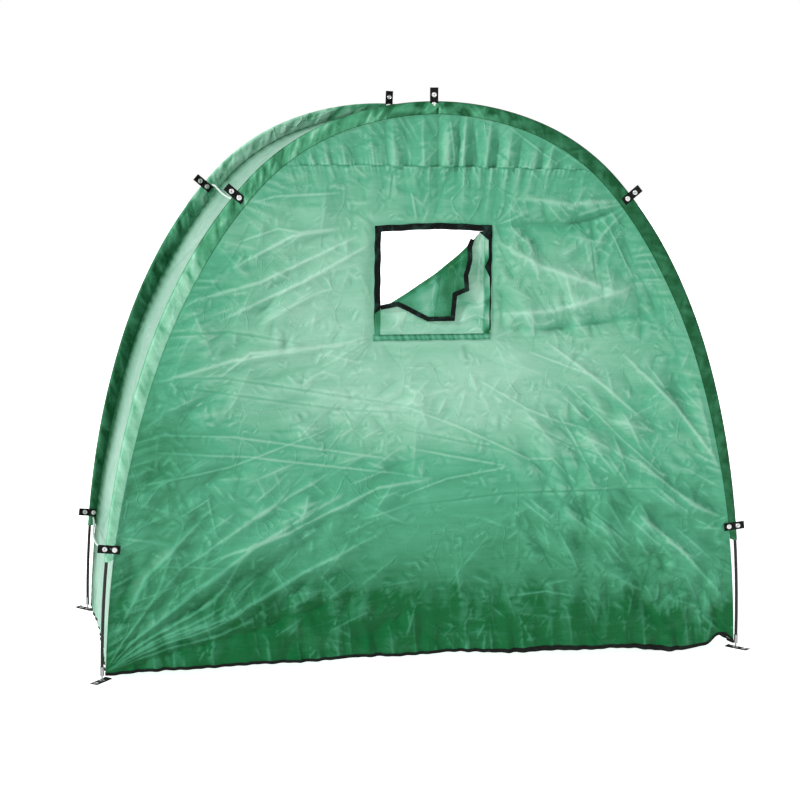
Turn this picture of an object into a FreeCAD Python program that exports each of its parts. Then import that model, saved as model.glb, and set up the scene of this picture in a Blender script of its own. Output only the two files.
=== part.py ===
"""Two-arch storage tent for bicycles: two bent pole arches carry a pale roof band between a
windowed wall (at -Y) and a wall with a rolled-up door (at +Y).

Frame: +Z up, origin on the ground at the centre of the footprint, +X across the width.
Lengths are millimetres. "Path length" is measured along the outer fold of an arch from its crown,
positive towards +X. "Inset" is measured square to that fold, towards the inside of the tent.
"""
import FreeCAD, Part
import math
import os

V = FreeCAD.Vector
os.makedirs("parts", exist_ok=True)

# ---------------------------------------------------------------- driving dimensions
arch_height = 1650.0
arch_spacing = 800.0
half_section = 304.2                # half of one pole section; seven sections make an arch
bend_radii = (835.0, 655.0, 1250.0, 1640.0, 2430.0, 2870.0, 3590.0)   # one per half section

cloth = 1.0                         # thickness given to every cloth panel
tape = 1.0                          # hook tape, loop tape, zip tape
webbing = 1.5
seam_insets = ((0.0, 37.0), (900.0, 46.0), (1450.0, 37.0), (1790.0, 25.0), (2140.0, 16.0))

pole_diameter = 9.5
pole_bore = 6.0
elastic_diameter = 3.0
ferrule_diameter = 10.7
ferrule_length = 90.0
pole_inset = 6.5                    # pole centre behind the outer fold
pocket_size = 13.0
near_sleeve_end = 340.0             # height at which a sleeve stops above the ground
far_sleeve_end = 270.0

panel_seam_height = 1465.0
hem_corner_height = 24.0
hem_middle_height = 39.0
binding_width = 8.0
binding_thickness = 3.0

window_left = -183.0
window_right = 162.0
window_bottom = 968.0
window_top = 1297.0
tape_width = 18.0
crease_left_height = 1045.0         # where the diagonal crease meets the left edge of the flap
crease_right_height = 1287.0
gap = 0.3                           # air between pieces that move against each other

door_half_width = 520.0
door_top = 1300.0
roll_radius = 36.0
strap_offset = 280.0
strap_width = 20.0
zip_bottom = 60.0
slider_height = 1265.0
slider_travel = 1150.0

tab_width = 24.0
tab_length = 64.0
fitting_from_end = 20.0             # outer fitting to the free end of a tab
fitting_spacing = 28.0
fitting_radius = 7.5
knob_radius = 3.5
socket_bore_radius = 4.2

cord_radius = 3.0
eyelet_radius = 8.0
eyelet_bore_radius = 4.0
foot_tab_width = 25.0
pin_radius = 2.5

path_end = half_section * len(bend_radii)
near_plane = -arch_spacing / 2
far_plane = arch_spacing / 2
pole_depth = cloth / 2 + pocket_size / 2      # pole centre behind the middle of the sleeve's front layer


# ---------------------------------------------------------------- the arch curve
def arch_arcs():
    """Centre, radius and start and end angle (from the vertical) of each arc, crown to ground."""
    arcs = []
    x = 0.0
    z = arch_height
    angle = 0.0
    for radius in bend_radii:
        centre_x = x - radius * math.sin(angle)
        centre_z = z - radius * math.cos(angle)
        end = angle + half_section / radius
        arcs.append((centre_x, centre_z, radius, angle, end))
        x = centre_x + radius * math.sin(end)
        z = centre_z + radius * math.cos(end)
        angle = end
    return arcs


ARCS = arch_arcs()


def arch_station(path, inset=0.0):
    """Point (x, z) at a path length and inset, and the angle of the outward normal there."""
    side = -1.0 if path < 0 else 1.0
    length = min(abs(path), path_end)
    index = min(int(length / half_section), len(ARCS) - 1)
    centre_x, centre_z, radius, start, _ = ARCS[index]
    angle = start + (length - index * half_section) / radius
    x = centre_x + (radius - inset) * math.sin(angle)
    z = centre_z + (radius - inset) * math.cos(angle)
    return side * x, z, side * angle


def seam_inset(path):
    """How far inside the outer fold the sleeve is sewn to the panels."""
    length = abs(path)
    for (a, inset_a), (b, inset_b) in zip(seam_insets, seam_insets[1:]):
        if length <= b:
            return inset_a + (inset_b - inset_a) * (length - a) / (b - a)
    return seam_insets[-1][1]


def path_at_height(height):
    """Path length of the point of the outer fold at a height."""
    low = 0.0
    high = path_end
    for _ in range(60):
        middle = (low + high) / 2
        if arch_station(middle)[1] > height:
            low = middle
        else:
            high = middle
    return low


def breaks(start, end):
    """Path lengths that cut a stretch where one arc of the arch meets the next."""
    values = [start]
    for k in range(-len(ARCS), len(ARCS) + 1):
        joint = k * half_section
        if start + 1.0 < joint < end - 1.0:
            values.append(joint)
    values.append(end)
    return values


def arch_point(path, inset, y):
    x, z, _ = arch_station(path, inset)
    return V(x, y, z)


def arch_edges(start, end, inset, y):
    """Arcs along the arch at an inset, which is a number or a function of the path length."""
    depth = inset if callable(inset) else (lambda path: inset)
    edges = []
    stops = breaks(start, end)
    for a, b in zip(stops, stops[1:]):
        middle = (a + b) / 2
        ends = [arch_point(s, depth(s), y) for s in (a, middle, b)]
        edges.append(Part.Arc(*ends).toShape())
    return edges


def line(a, b):
    return Part.LineSegment(a, b).toShape()


def plate(edges, y_low, y_high):
    """Closed flat outline in a plane of constant Y, made y_high - y_low thick."""
    wire = Part.Wire(Part.__sortEdges__(edges))
    face = Part.Face(wire)
    face.translate(V(0, y_low - wire.Vertexes[0].Y, 0))
    return face.extrude(V(0, y_high - y_low, 0))


def arch_strip(start, end, outer, inner, y_low, y_high):
    """Solid between two insets of the arch, from one path length to another."""
    far_side = arch_edges(start, end, outer, y_low)
    near_side = arch_edges(start, end, inner, y_low)
    caps = [line(far_side[0].Vertexes[0].Point, near_side[0].Vertexes[0].Point),
            line(far_side[-1].Vertexes[-1].Point, near_side[-1].Vertexes[-1].Point)]
    return plate(far_side + near_side + caps, y_low, y_high)


def box(x_low, x_high, y_low, y_high, z_low, z_high):
    return Part.makeBox(x_high - x_low, y_high - y_low, z_high - z_low, V(x_low, y_low, z_low))


def cylinder(radius, start, end):
    axis = end.sub(start)
    return Part.makeCylinder(radius, axis.Length, start, axis)


def solid_of(shape):
    """The one solid of a fused or cut shape."""
    clean = shape.removeSplitter()
    return clean.Solids[0] if len(clean.Solids) == 1 else clean


def save(name, shape):
    shape.exportStep(f"parts/{name}.step")


# ---------------------------------------------------------------- poles
def pipe(start, end, inset, radius, y):
    """Round bar along the arch between two path lengths."""
    path = Part.Wire(arch_edges(start, end, inset, y))
    first = path.Edges[0]
    heading = first.tangentAt(first.FirstParameter)
    ring = Part.Wire(Part.Circle(first.valueAt(first.FirstParameter), heading, radius).toShape())
    return path.makePipeShell([ring], True, False)


def tube(start, end, inset, outer_radius, inner_radius, y):
    bar = pipe(start, end, inset, outer_radius, y)
    return bar.cut(pipe(start, end, inset, inner_radius, y))


pole_end = path_end - 28.0


def pole_joints():
    """Path lengths at which one pole section ends and the next begins."""
    return [k * half_section for k in (-5, -3, -1, 1, 3, 5)]


def pole_sections(y):
    stops = [-pole_end] + pole_joints() + [pole_end]
    pairs = zip(stops, stops[1:])
    tubes = [tube(a, b, pole_inset, pole_diameter / 2, pole_bore / 2, y) for a, b in pairs]
    return Part.makeCompound(tubes)


def ferrules(y):
    reach = ferrule_length / 2
    rings = []
    for joint in pole_joints():
        rings.append(tube(joint - reach, joint + reach, pole_inset,
                          ferrule_diameter / 2, pole_diameter / 2, y))
    return Part.makeCompound(rings)


def end_tips(y):
    """Cup over each pole end, with a pin that goes through the foot tab's eyelet to the ground."""
    tips = []
    for side in (-1, 1):
        x, z, _ = arch_station(side * pole_end, pole_inset)
        cup = cylinder(6.2, V(x, y, z - 12.0), V(x, y, z + 14.0))
        cup = cup.cut(cylinder(pole_diameter / 2 + 0.15, V(x, y, z), V(x, y, z + 14.0)))
        pin = cylinder(pin_radius, V(x, y, 0.0), V(x, y, z - 12.0))
        tips.append(solid_of(cup.fuse(pin)))
    return Part.makeCompound(tips)


# ---------------------------------------------------------------- sleeves and panels
def sleeve(plane, end_height):
    """Flat fin in the plane of a wall with a pocket for the pole behind its outer fold."""
    end = path_at_height(end_height)
    back = plane + cloth / 2
    front_layer = arch_strip(-end, end, 0.0, seam_inset, plane - cloth / 2, back)
    pocket = arch_strip(-end, end, 0.0, pocket_size, back, back + pocket_size)
    wall = cloth / 2
    hollow = arch_strip(-end - 5.0, end + 5.0, wall, pocket_size - wall,
                        back, back + pocket_size - wall)
    return solid_of(front_layer.fuse(pocket.cut(hollow)))


def corner(side, y):
    """Lower outer corner of a wall, above the foot."""
    path = path_at_height(hem_corner_height)
    return arch_point(side * path, seam_inset(path), y)


def hem_edge(y, lift=0.0):
    """Bottom edge of a wall: a shallow curve from corner to corner."""
    rise = V(0, 0, lift)
    middle = V(0, y, hem_middle_height + lift)
    return Part.Arc(corner(-1, y).add(rise), middle, corner(1, y).add(rise)).toShape()


def whole_wall(plane):
    end = path_at_height(hem_corner_height)
    edges = arch_edges(-end, end, seam_inset, plane) + [hem_edge(plane)]
    return plate(edges, plane - cloth / 2, plane + cloth / 2)


def wall_hem(plane):
    top = hem_edge(plane)
    bottom = hem_edge(plane, -binding_width)
    sides = [line(corner(s, plane), corner(s, plane).add(V(0, 0, -binding_width))) for s in (-1, 1)]
    return plate([top, bottom] + sides, plane - binding_thickness / 2, plane + binding_thickness / 2)


def near_panels():
    """Window wall below the gathered seam, and the cap panel above it."""
    wall = whole_wall(near_plane)
    far_out = arch_height
    above = box(-far_out, far_out, -far_out, 0, panel_seam_height, 2 * arch_height)
    opening = box(window_left + tape_width, window_right - tape_width, -far_out, 0,
                  window_bottom + tape_width, window_top - tape_width)
    return wall.cut(above).cut(opening), wall.common(above)


def far_panels():
    """Header over the doorway, and the panel on each side of it."""
    wall = whole_wall(far_plane)
    wide = arch_height
    above = box(-wide, wide, 0, wide, door_top, 2 * arch_height)
    left = box(-wide, -door_half_width, 0, wide, -wide, door_top)
    right = box(door_half_width, wide, 0, wide, -wide, door_top)
    return wall.common(above), wall.common(left), wall.common(right)


def roof_band():
    """Band over both sides and the top, between the two walls."""
    end = path_at_height(hem_corner_height)
    low = near_plane + cloth / 2
    high = far_plane - cloth / 2
    return arch_strip(-end, end, lambda s: seam_inset(s) - cloth, seam_inset, low, high)


def side_hem(side):
    """Binding along the lower edge of the band, between the two feet of one side."""
    foot = corner(side, 0.0)
    low = near_plane + binding_thickness / 2
    high = far_plane - binding_thickness / 2
    return box(foot.x - binding_thickness / 2, foot.x + binding_thickness / 2, low, high,
               foot.z - binding_width, foot.z)


# ---------------------------------------------------------------- window and flap
wall_face = near_plane - cloth / 2              # outer face of the window wall
tape_face = wall_face - tape
flap_inner = tape_face - gap - tape             # inner face of the flap's sheet, over its loop tape
flap_outer = flap_inner - cloth
fold_plane = flap_outer - gap / 2               # plane in which the crease turns
corner_inner = fold_plane - gap / 2
corner_outer = corner_inner - cloth
hinge_height = window_bottom + tape_width + 1.0


def crease_vector():
    run = V(window_right - window_left, 0, crease_right_height - crease_left_height)
    return run.normalize()


def polygon_plate(points, y_low, y_high):
    corners = [V(x, y_low, z) for x, z in points]
    edges = [line(a, b) for a, b in zip(corners, corners[1:] + corners[:1])]
    return plate(edges, y_low, y_high)


def flap_lower():
    """The part of the flap below the crease, still in place over the opening."""
    edge = gap / crease_vector().x
    outline = [(window_left, hinge_height + gap), (window_right, hinge_height + gap),
               (window_right, crease_right_height - edge), (window_left, crease_left_height - edge)]
    return polygon_plate(outline, flap_outer, flap_inner)


def crease_height(x):
    return crease_left_height + (x - window_left) * crease_vector().z / crease_vector().x


def hanging_edge():
    """Free edge of the folded corner as it hangs in its pleats, from the left end of the crease."""
    edge = gap / crease_vector().x
    return [(-168, crease_height(-168) - edge), (-117, 1066), (-28, 1022), (53, 1023), (57, 1097),
            (93, 1112), (100, 1236), (130, crease_height(130) - edge)]


def inset_edge(points, distance):
    """The same run of edges moved inwards, with mitred corners."""
    normals = []
    for a, b in zip(points, points[1:]):
        run = V(b[0] - a[0], 0, b[1] - a[1]).normalize()
        normals.append(V(-run.z, 0, run.x))
    normals = [normals[0]] + normals + [normals[-1]]
    moved = []
    for point, before, after in zip(points, normals, normals[1:]):
        mitre = (before + after).normalize()
        step = mitre * (distance / mitre.dot(after))
        moved.append((point[0] + step.x, point[1] + step.z))
    return moved


def flap_upper():
    """The corner of the flap above the crease, turned down to the outside."""
    return polygon_plate(hanging_edge(), corner_outer, corner_inner)


def flap_upper_tape():
    """Loop tape along the free edges of the folded corner."""
    edge = hanging_edge()
    strip = polygon_plate(edge + inset_edge(edge, tape_width)[::-1], corner_outer - tape, corner_outer)
    return solid_of(strip.common(polygon_plate(edge, corner_outer - tape, corner_outer)))


def flap_side_tape():
    """Loop tape along the right edge of the flap, pressed on the wall's hook tape."""
    return box(window_right - tape_width, window_right, flap_inner, flap_inner + tape,
               hinge_height + 6.0, crease_right_height - 24.0)


def hook_tapes():
    """Hook tape round the opening on the wall's outer face, and the sewn sill band below it."""
    low = window_bottom + tape_width
    high = window_top - tape_width
    top = box(window_left, window_right, tape_face, wall_face, high, window_top)
    left = box(window_left, window_left + tape_width, tape_face, wall_face, low + 30.0, high)
    right = box(window_right - tape_width, window_right, tape_face, wall_face, low + 8.0, high)
    sill = box(window_left, window_right, tape_face, wall_face, window_bottom, low)
    return {"hook_tape_top": top, "hook_tape_left": left, "hook_tape_right": right,
            "window_sill_band": sill}


# ---------------------------------------------------------------- arch tabs with press studs
tab_heights = {"lower": (387.0, 326.0), "upper": (1386.0, 1388.0)}      # near arch, far arch
top_tab_paths = (-15.0, 25.0)
tab_reach = {"lower": (22.0, 32.0), "upper": (33.0, 33.0), "top": (38.0, 40.0)}


def tab_places():
    """Name, arch plane, path length and reach beyond the outer fold of each of the ten tabs."""
    places = []
    for arch, (label, plane) in enumerate((("near", near_plane), ("far", far_plane))):
        for level, side in (("lower", -1), ("upper", -1), ("top", 0), ("upper", 1), ("lower", 1)):
            if level == "top":
                name = f"{label}_top"
                path = top_tab_paths[arch]
            else:
                name = f"{label}_{level}_{'left' if side < 0 else 'right'}"
                path = side * path_at_height(tab_heights[level][arch])
            places.append((name, plane, path, tab_reach[level][arch]))
    return places


def radial_plate(path, inset_a, inset_b, width, y_low, y_high):
    """Flat rectangle square to the arch, from one inset to another."""
    x, z, angle = arch_station(path)
    outward = V(math.sin(angle), 0, math.cos(angle))
    along = V(math.cos(angle), 0, -math.sin(angle)) * (width / 2)
    start = V(x, y_low, z) - outward * inset_a
    end = V(x, y_low, z) - outward * inset_b
    corners = [start - along, start + along, end + along, end - along]
    edges = [line(a, b) for a, b in zip(corners, corners[1:] + corners[:1])]
    return plate(edges, y_low, y_high)


def on_arch(path, inset, y):
    """Point on the straight normal of the arch at a path length."""
    x, z, angle = arch_station(path)
    return V(x - inset * math.sin(angle), y, z - inset * math.cos(angle))


def tab_face(plane):
    return plane - cloth / 2 - webbing


def tab_fold_inset(reach):
    return fitting_from_end + fitting_spacing / 2 - reach


def tab_axis_point(plane, path, reach):
    return on_arch(path, tab_fold_inset(reach), tab_face(plane) - 1.4)


def tab_root(plane, path, reach):
    face = tab_face(plane)
    inner = tab_length - reach
    if plane > 0:
        inner = min(inner, seam_inset(path) - cloth - gap)
    return radial_plate(path, tab_fold_inset(reach) + 0.4, inner, tab_width, face, face + webbing)


def tab_tip(plane, path, reach):
    face = tab_face(plane)
    strip = radial_plate(path, -reach, tab_fold_inset(reach) - 0.4, tab_width, face, face + webbing)
    ring_inset = fitting_from_end - reach
    back = on_arch(path, ring_inset, face)
    ring = cylinder(fitting_radius, back, back + V(0, -1.2, 0))
    ring = ring.cut(cylinder(socket_bore_radius, back, back + V(0, -1.2, 0)))
    return strip, ring


def tab_stud(plane, path, reach):
    face = tab_face(plane)
    back = on_arch(path, fitting_from_end + fitting_spacing - reach, face)
    flange = cylinder(fitting_radius, back, back + V(0, -0.9, 0))
    knob = cylinder(knob_radius, back, back + V(0, -2.4, 0))
    return solid_of(flange.fuse(knob))


# ---------------------------------------------------------------- feet
def foot_directions():
    """Name, pole foot and horizontal direction of the webbing tab at each foot."""
    spots = []
    for label, plane, forward in (("near", near_plane, -1), ("far", far_plane, 1)):
        for side_name, side in (("left", -1), ("right", 1)):
            x, _, _ = arch_station(side * pole_end, pole_inset)
            heading = V(side * 0.658, forward * 0.753, 0).normalize()
            spots.append((f"{label}_{side_name}", V(x, plane + pole_depth, 0), heading))
    return spots


foot_tab_inner = 30.0               # from the pin back towards the wall corner
foot_tab_outer = 44.0               # from the pin out to the free end
peg_eyelet_distance = 28.0


def flat_strip(start, heading, length, width, z_low, z_high):
    across = V(-heading.y, heading.x, 0) * (width / 2)
    end = start + heading * length
    corners = [start - across, start + across, end + across, end - across]
    raised = [V(c.x, c.y, z_low) for c in corners]
    edges = [line(a, b) for a, b in zip(raised, raised[1:] + raised[:1])]
    return Part.Face(Part.Wire(edges)).extrude(V(0, 0, z_high - z_low))


def foot_tab(foot, heading):
    strip = flat_strip(foot - heading * foot_tab_inner, heading, foot_tab_inner + foot_tab_outer,
                       foot_tab_width, 0.5, 0.5 + webbing)
    for distance in (0.0, peg_eyelet_distance):
        centre = foot + heading * distance
        strip = strip.cut(cylinder(eyelet_bore_radius + 1.0, centre, centre + V(0, 0, 10.0)))
    return strip


def eyelets():
    """Rolled eyelets: one round each pole pin and one for a peg, in every foot tab."""
    rings = []
    for _, foot, heading in foot_directions():
        for distance in (0.0, peg_eyelet_distance):
            centre = foot + heading * distance
            barrel = cylinder(eyelet_bore_radius + 1.0, centre, centre + V(0, 0, 2.5))
            low = cylinder(eyelet_radius, centre, centre + V(0, 0, 0.5))
            high = cylinder(eyelet_radius, centre + V(0, 0, 2.0), centre + V(0, 0, 2.5))
            bore = cylinder(eyelet_bore_radius, centre, centre + V(0, 0, 2.5))
            rings.append(solid_of(barrel.fuse([low, high]).cut(bore)))
    return Part.makeCompound(rings)


# ---------------------------------------------------------------- door side
door_inner_face = far_plane - cloth / 2
door_outer_face = far_plane + cloth / 2
roll_centre = V(0, door_inner_face - 2.0 - roll_radius, door_top - 8.0)


def door_roll():
    """Rolled-up door below the header, with the last of its cloth running up behind it."""
    half = door_half_width - 20.0
    roll = cylinder(roll_radius, roll_centre + V(-half, 0, 0), roll_centre + V(half, 0, 0))
    tail = box(-half, half, door_inner_face - 2.6, door_inner_face, door_top - 8.0, door_top + 24.0)
    for side in (-1, 1):
        middle = side * strap_offset
        reach = strap_width / 2 + 2.0
        tail = tail.cut(box(middle - reach, middle + reach, door_inner_face - 2.6,
                            door_inner_face, door_top - 8.0, door_top + 24.0))
    return solid_of(roll.fuse(tail))


def door_strap(side):
    """Webbing loop round the roll, sewn to the inside of the header."""
    low = roll_centre + V(side * strap_offset - strap_width / 2, 0, 0)
    high = low + V(strap_width, 0, 0)
    loop = cylinder(roll_radius + 0.3 + webbing, low, high)
    loop = loop.cut(cylinder(roll_radius + 0.3, low, high))
    tongue = box(low.x, high.x, door_inner_face - webbing - 0.2, door_inner_face,
                 roll_centre.z, door_top + 50.0)
    inside = cylinder(roll_radius + 0.3, low, high)
    return solid_of(loop.fuse(tongue.cut(inside)))


coil_width = 3.0
coil_height = 1.6


def zip_tape(side):
    """Zip tape with its coil along one edge of the doorway."""
    edge = side * door_half_width
    x_low, x_high = sorted((edge, edge + side * 14.0))
    strip = box(x_low, x_high, door_outer_face, door_outer_face + tape, zip_bottom, door_top - 10.0)
    x_low, x_high = sorted((edge, edge + side * coil_width))
    coil = box(x_low, x_high, door_outer_face + tape, door_outer_face + tape + coil_height,
               zip_bottom, door_top - 10.0)
    return solid_of(strip.fuse(coil))


slider_face = door_outer_face + tape + coil_height + 2.2       # outer face of the slider's body
pull_pivot_y = slider_face + 2.2
pull_pin_radius = 0.9


def zip_slider(side):
    """Slider astride the coil, with two lugs and a pin for its pull."""
    middle = side * (door_half_width + coil_width / 2)
    bottom = door_outer_face + tape + gap
    body = box(middle - 6.5, middle + 6.5, bottom, slider_face, slider_height - 9.0, slider_height + 9.0)
    clear = coil_width / 2 + 0.4
    body = body.cut(box(middle - clear, middle + clear, bottom,
                        door_outer_face + tape + coil_height + 0.4,
                        slider_height - 9.0, slider_height + 9.0))
    lugs = []
    for lug in (-1, 1):
        centre = middle + lug * 5.6
        lugs.append(box(centre - 0.7, centre + 0.7, slider_face, pull_pivot_y + 1.6,
                        slider_height - 1.8, slider_height + 1.8))
    pin = cylinder(pull_pin_radius, V(middle - 5.6, pull_pivot_y, slider_height),
                   V(middle + 5.6, pull_pivot_y, slider_height))
    return solid_of(body.fuse(lugs + [pin]))


def zip_pull(side):
    """Flat pull that hangs from the slider's pin."""
    middle = side * (door_half_width + coil_width / 2)
    half_thickness = 1.6
    arm = box(middle - 4.2, middle + 4.2, pull_pivot_y - half_thickness, pull_pivot_y + half_thickness,
              slider_height - 34.0, slider_height)
    eye = cylinder(half_thickness + 0.35, V(middle - 4.2, pull_pivot_y, slider_height),
                   V(middle + 4.2, pull_pivot_y, slider_height))
    hole = cylinder(pull_pin_radius + 0.35, V(middle - 4.2, pull_pivot_y, slider_height),
                    V(middle + 4.2, pull_pivot_y, slider_height))
    return solid_of(arm.fuse(eye).cut(hole))


# ---------------------------------------------------------------- loose tie cords
lower_cord_route = (
    V(-943, 399.5, 307), V(-943.5, 357, 306), V(-947, 285, 313), V(-953, 208, 311),
    V(-958, 128, 319), V(-961, 46, 320), V(-962, -38, 330), V(-961, -122, 338),
    V(-958, -206, 352), V(-952, -278, 364), V(-945, -344, 381), V(-944.5, -386.5, 385),
)
upper_cord_route = (
    V(-551, 399.5, 1385), V(-551.5, 357, 1384), V(-555, 285, 1384.5), V(-559, 208, 1380),
    V(-565, 128, 1379.5), V(-568, 46, 1375.5), V(-574, -38, 1375.5), V(-577, -122, 1372),
    V(-582, -206, 1373), V(-584, -278, 1371), V(-588, -344, 1373), V(-588, -386.5, 1373),
)


def cord(name, route):
    """Round cord of straight runs joined by tangent arcs, as large as the runs allow."""
    runs = [b - a for a, b in zip(route, route[1:])]
    edges = []
    last = route[0]
    length = 0.0
    radii = []
    for point, before, after in zip(route[1:-1], runs, runs[1:]):
        turn = before.getAngle(after)
        setback = 0.45 * min(before.Length, after.Length)
        radius = setback / math.tan(turn / 2)
        radii.append(radius)
        start = point - V(before).normalize() * setback
        end = point + V(after).normalize() * setback
        bisector = (V(after).normalize() - V(before).normalize()).normalize()
        middle = point + bisector * (radius / math.cos(turn / 2) - radius)
        edges.append(line(last, start))
        edges.append(Part.Arc(start, middle, end).toShape())
        length += (start - last).Length + radius * turn
        last = end
    edges.append(line(last, route[-1]))
    length += (route[-1] - last).Length
    path = Part.Wire(edges)
    ring = Part.Wire(Part.Circle(route[0], runs[0], cord_radius).toShape())
    solid = path.makePipeShell([ring], True, False)
    ratio = solid.Volume / (math.pi * cord_radius ** 2 * length)
    print(name, f"length {length:.0f} mm, smallest radius {min(radii):.0f} mm, volume ratio {ratio:.4f}")
    return solid


# ---------------------------------------------------------------- build
def build():
    save("near_pole_sections", pole_sections(near_plane + pole_depth))
    save("far_pole_sections", pole_sections(far_plane + pole_depth))
    save("near_pole_ferrules", ferrules(near_plane + pole_depth))
    save("far_pole_ferrules", ferrules(far_plane + pole_depth))
    for label, plane in (("near", near_plane), ("far", far_plane)):
        y = plane + pole_depth
        save(f"{label}_pole_elastic", pipe(-pole_end, pole_end, pole_inset, elastic_diameter / 2, y))
        save(f"{label}_pole_tips", end_tips(y))
    save("near_pole_sleeve", sleeve(near_plane, near_sleeve_end))
    save("far_pole_sleeve", sleeve(far_plane, far_sleeve_end))

    wall, cap = near_panels()
    save("window_wall", wall)
    save("window_wall_cap", cap)
    header, left, right = far_panels()
    save("door_header", header)
    save("door_side_left", left)
    save("door_side_right", right)
    save("roof_band", roof_band())

    save("near_hem_binding", wall_hem(near_plane))
    far_hem = wall_hem(far_plane)
    doorway = box(-door_half_width, door_half_width, 0, arch_height, -arch_height, arch_height)
    halves = sorted(far_hem.cut(doorway).Solids, key=lambda s: s.CenterOfMass.x)
    save("far_hem_binding_left", halves[0])
    save("far_hem_binding_right", halves[1])
    save("left_hem_binding", side_hem(-1))
    save("right_hem_binding", side_hem(1))

    for name, shape in hook_tapes().items():
        save(name, shape)
    save("window_flap", flap_lower())
    save("window_flap_side_tape", flap_side_tape())
    save("window_flap_corner", flap_upper())
    save("window_flap_corner_tape", flap_upper_tape())

    roots = []
    studs = []
    sockets = []
    for name, plane, path, reach in tab_places():
        roots.append(tab_root(plane, path, reach))
        studs.append(tab_stud(plane, path, reach))
        strip, ring = tab_tip(plane, path, reach)
        save(f"{name}_tab_tip", Part.makeCompound([strip, ring]))
    save("tab_roots", Part.makeCompound(roots))
    save("tab_studs", Part.makeCompound(studs))

    for name, foot, heading in foot_directions():
        save(f"{name}_foot_tab", foot_tab(foot, heading))
    save("foot_eyelets", eyelets())

    save("door_roll", door_roll())
    for side, name in ((-1, "left"), (1, "right")):
        save(f"door_strap_{name}", door_strap(side))
        save(f"zip_tape_{name}", zip_tape(side))
        save(f"zip_slider_{name}", zip_slider(side))
        save(f"zip_pull_{name}", zip_pull(side))

    save("lower_tie_cord", cord("lower tie cord", lower_cord_route))
    save("upper_tie_cord", cord("upper tie cord", upper_cord_route))


build()
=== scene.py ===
import math

import bmesh
import bpy
import numpy as np
from mathutils import Matrix, Vector


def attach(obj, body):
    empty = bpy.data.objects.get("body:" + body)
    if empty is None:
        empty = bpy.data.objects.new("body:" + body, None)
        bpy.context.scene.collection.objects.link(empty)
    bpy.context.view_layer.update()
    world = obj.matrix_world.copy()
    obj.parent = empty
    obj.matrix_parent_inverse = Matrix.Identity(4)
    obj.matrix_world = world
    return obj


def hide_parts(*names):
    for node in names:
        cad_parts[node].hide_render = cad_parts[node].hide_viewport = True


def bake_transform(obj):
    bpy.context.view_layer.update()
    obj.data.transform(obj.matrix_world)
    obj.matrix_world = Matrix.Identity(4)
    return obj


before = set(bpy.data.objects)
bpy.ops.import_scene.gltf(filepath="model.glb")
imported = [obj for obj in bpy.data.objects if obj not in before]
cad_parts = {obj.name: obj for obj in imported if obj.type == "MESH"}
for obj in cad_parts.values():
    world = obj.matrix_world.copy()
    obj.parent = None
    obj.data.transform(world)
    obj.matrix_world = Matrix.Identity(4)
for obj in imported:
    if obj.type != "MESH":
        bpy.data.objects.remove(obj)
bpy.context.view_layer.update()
scene = bpy.context.scene


def add_object(name, data):
    """New object in the scene that shows a mesh, curve, camera or lamp."""
    made = bpy.data.objects.new(name, data)
    scene.collection.objects.link(made)
    return made


# ---------------------------------------------------------------- camera
YAW = math.radians(12.48)
PITCH = math.radians(-8.54)
ROLL = math.radians(0.65)
EYE = (-1.246, -5.56, 1.589)
forward = Vector((math.sin(YAW) * math.cos(PITCH), math.cos(YAW) * math.cos(PITCH), math.sin(PITCH)))
level = Vector((math.cos(YAW), -math.sin(YAW), 0.0))
upright = level.cross(forward)
right = level * math.cos(ROLL) + upright * math.sin(ROLL)
up = upright * math.cos(ROLL) - level * math.sin(ROLL)
lens = bpy.data.cameras.new("camera")
lens.lens = 83.19
lens.sensor_width = 36.0
lens.clip_start = 0.1
lens.clip_end = 200.0
camera = add_object("camera", lens)
camera.matrix_world = Matrix.Translation(EYE) @ Matrix((right, up, -forward)).transposed().to_4x4()
scene.camera = camera


# ---------------------------------------------------------------- materials
BLACK = (0.0, 0.0, 0.0, 1.0)
WHITE = (1.0, 1.0, 1.0, 1.0)


def srgb(*colour):
    """Linear colour with alpha from three 0 to 255 values."""
    linear = [(c / 255 / 12.92) if c / 255 <= 0.04045 else ((c / 255 + 0.055) / 1.055) ** 2.4 for c in colour]
    return (*linear, 1.0)


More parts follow.
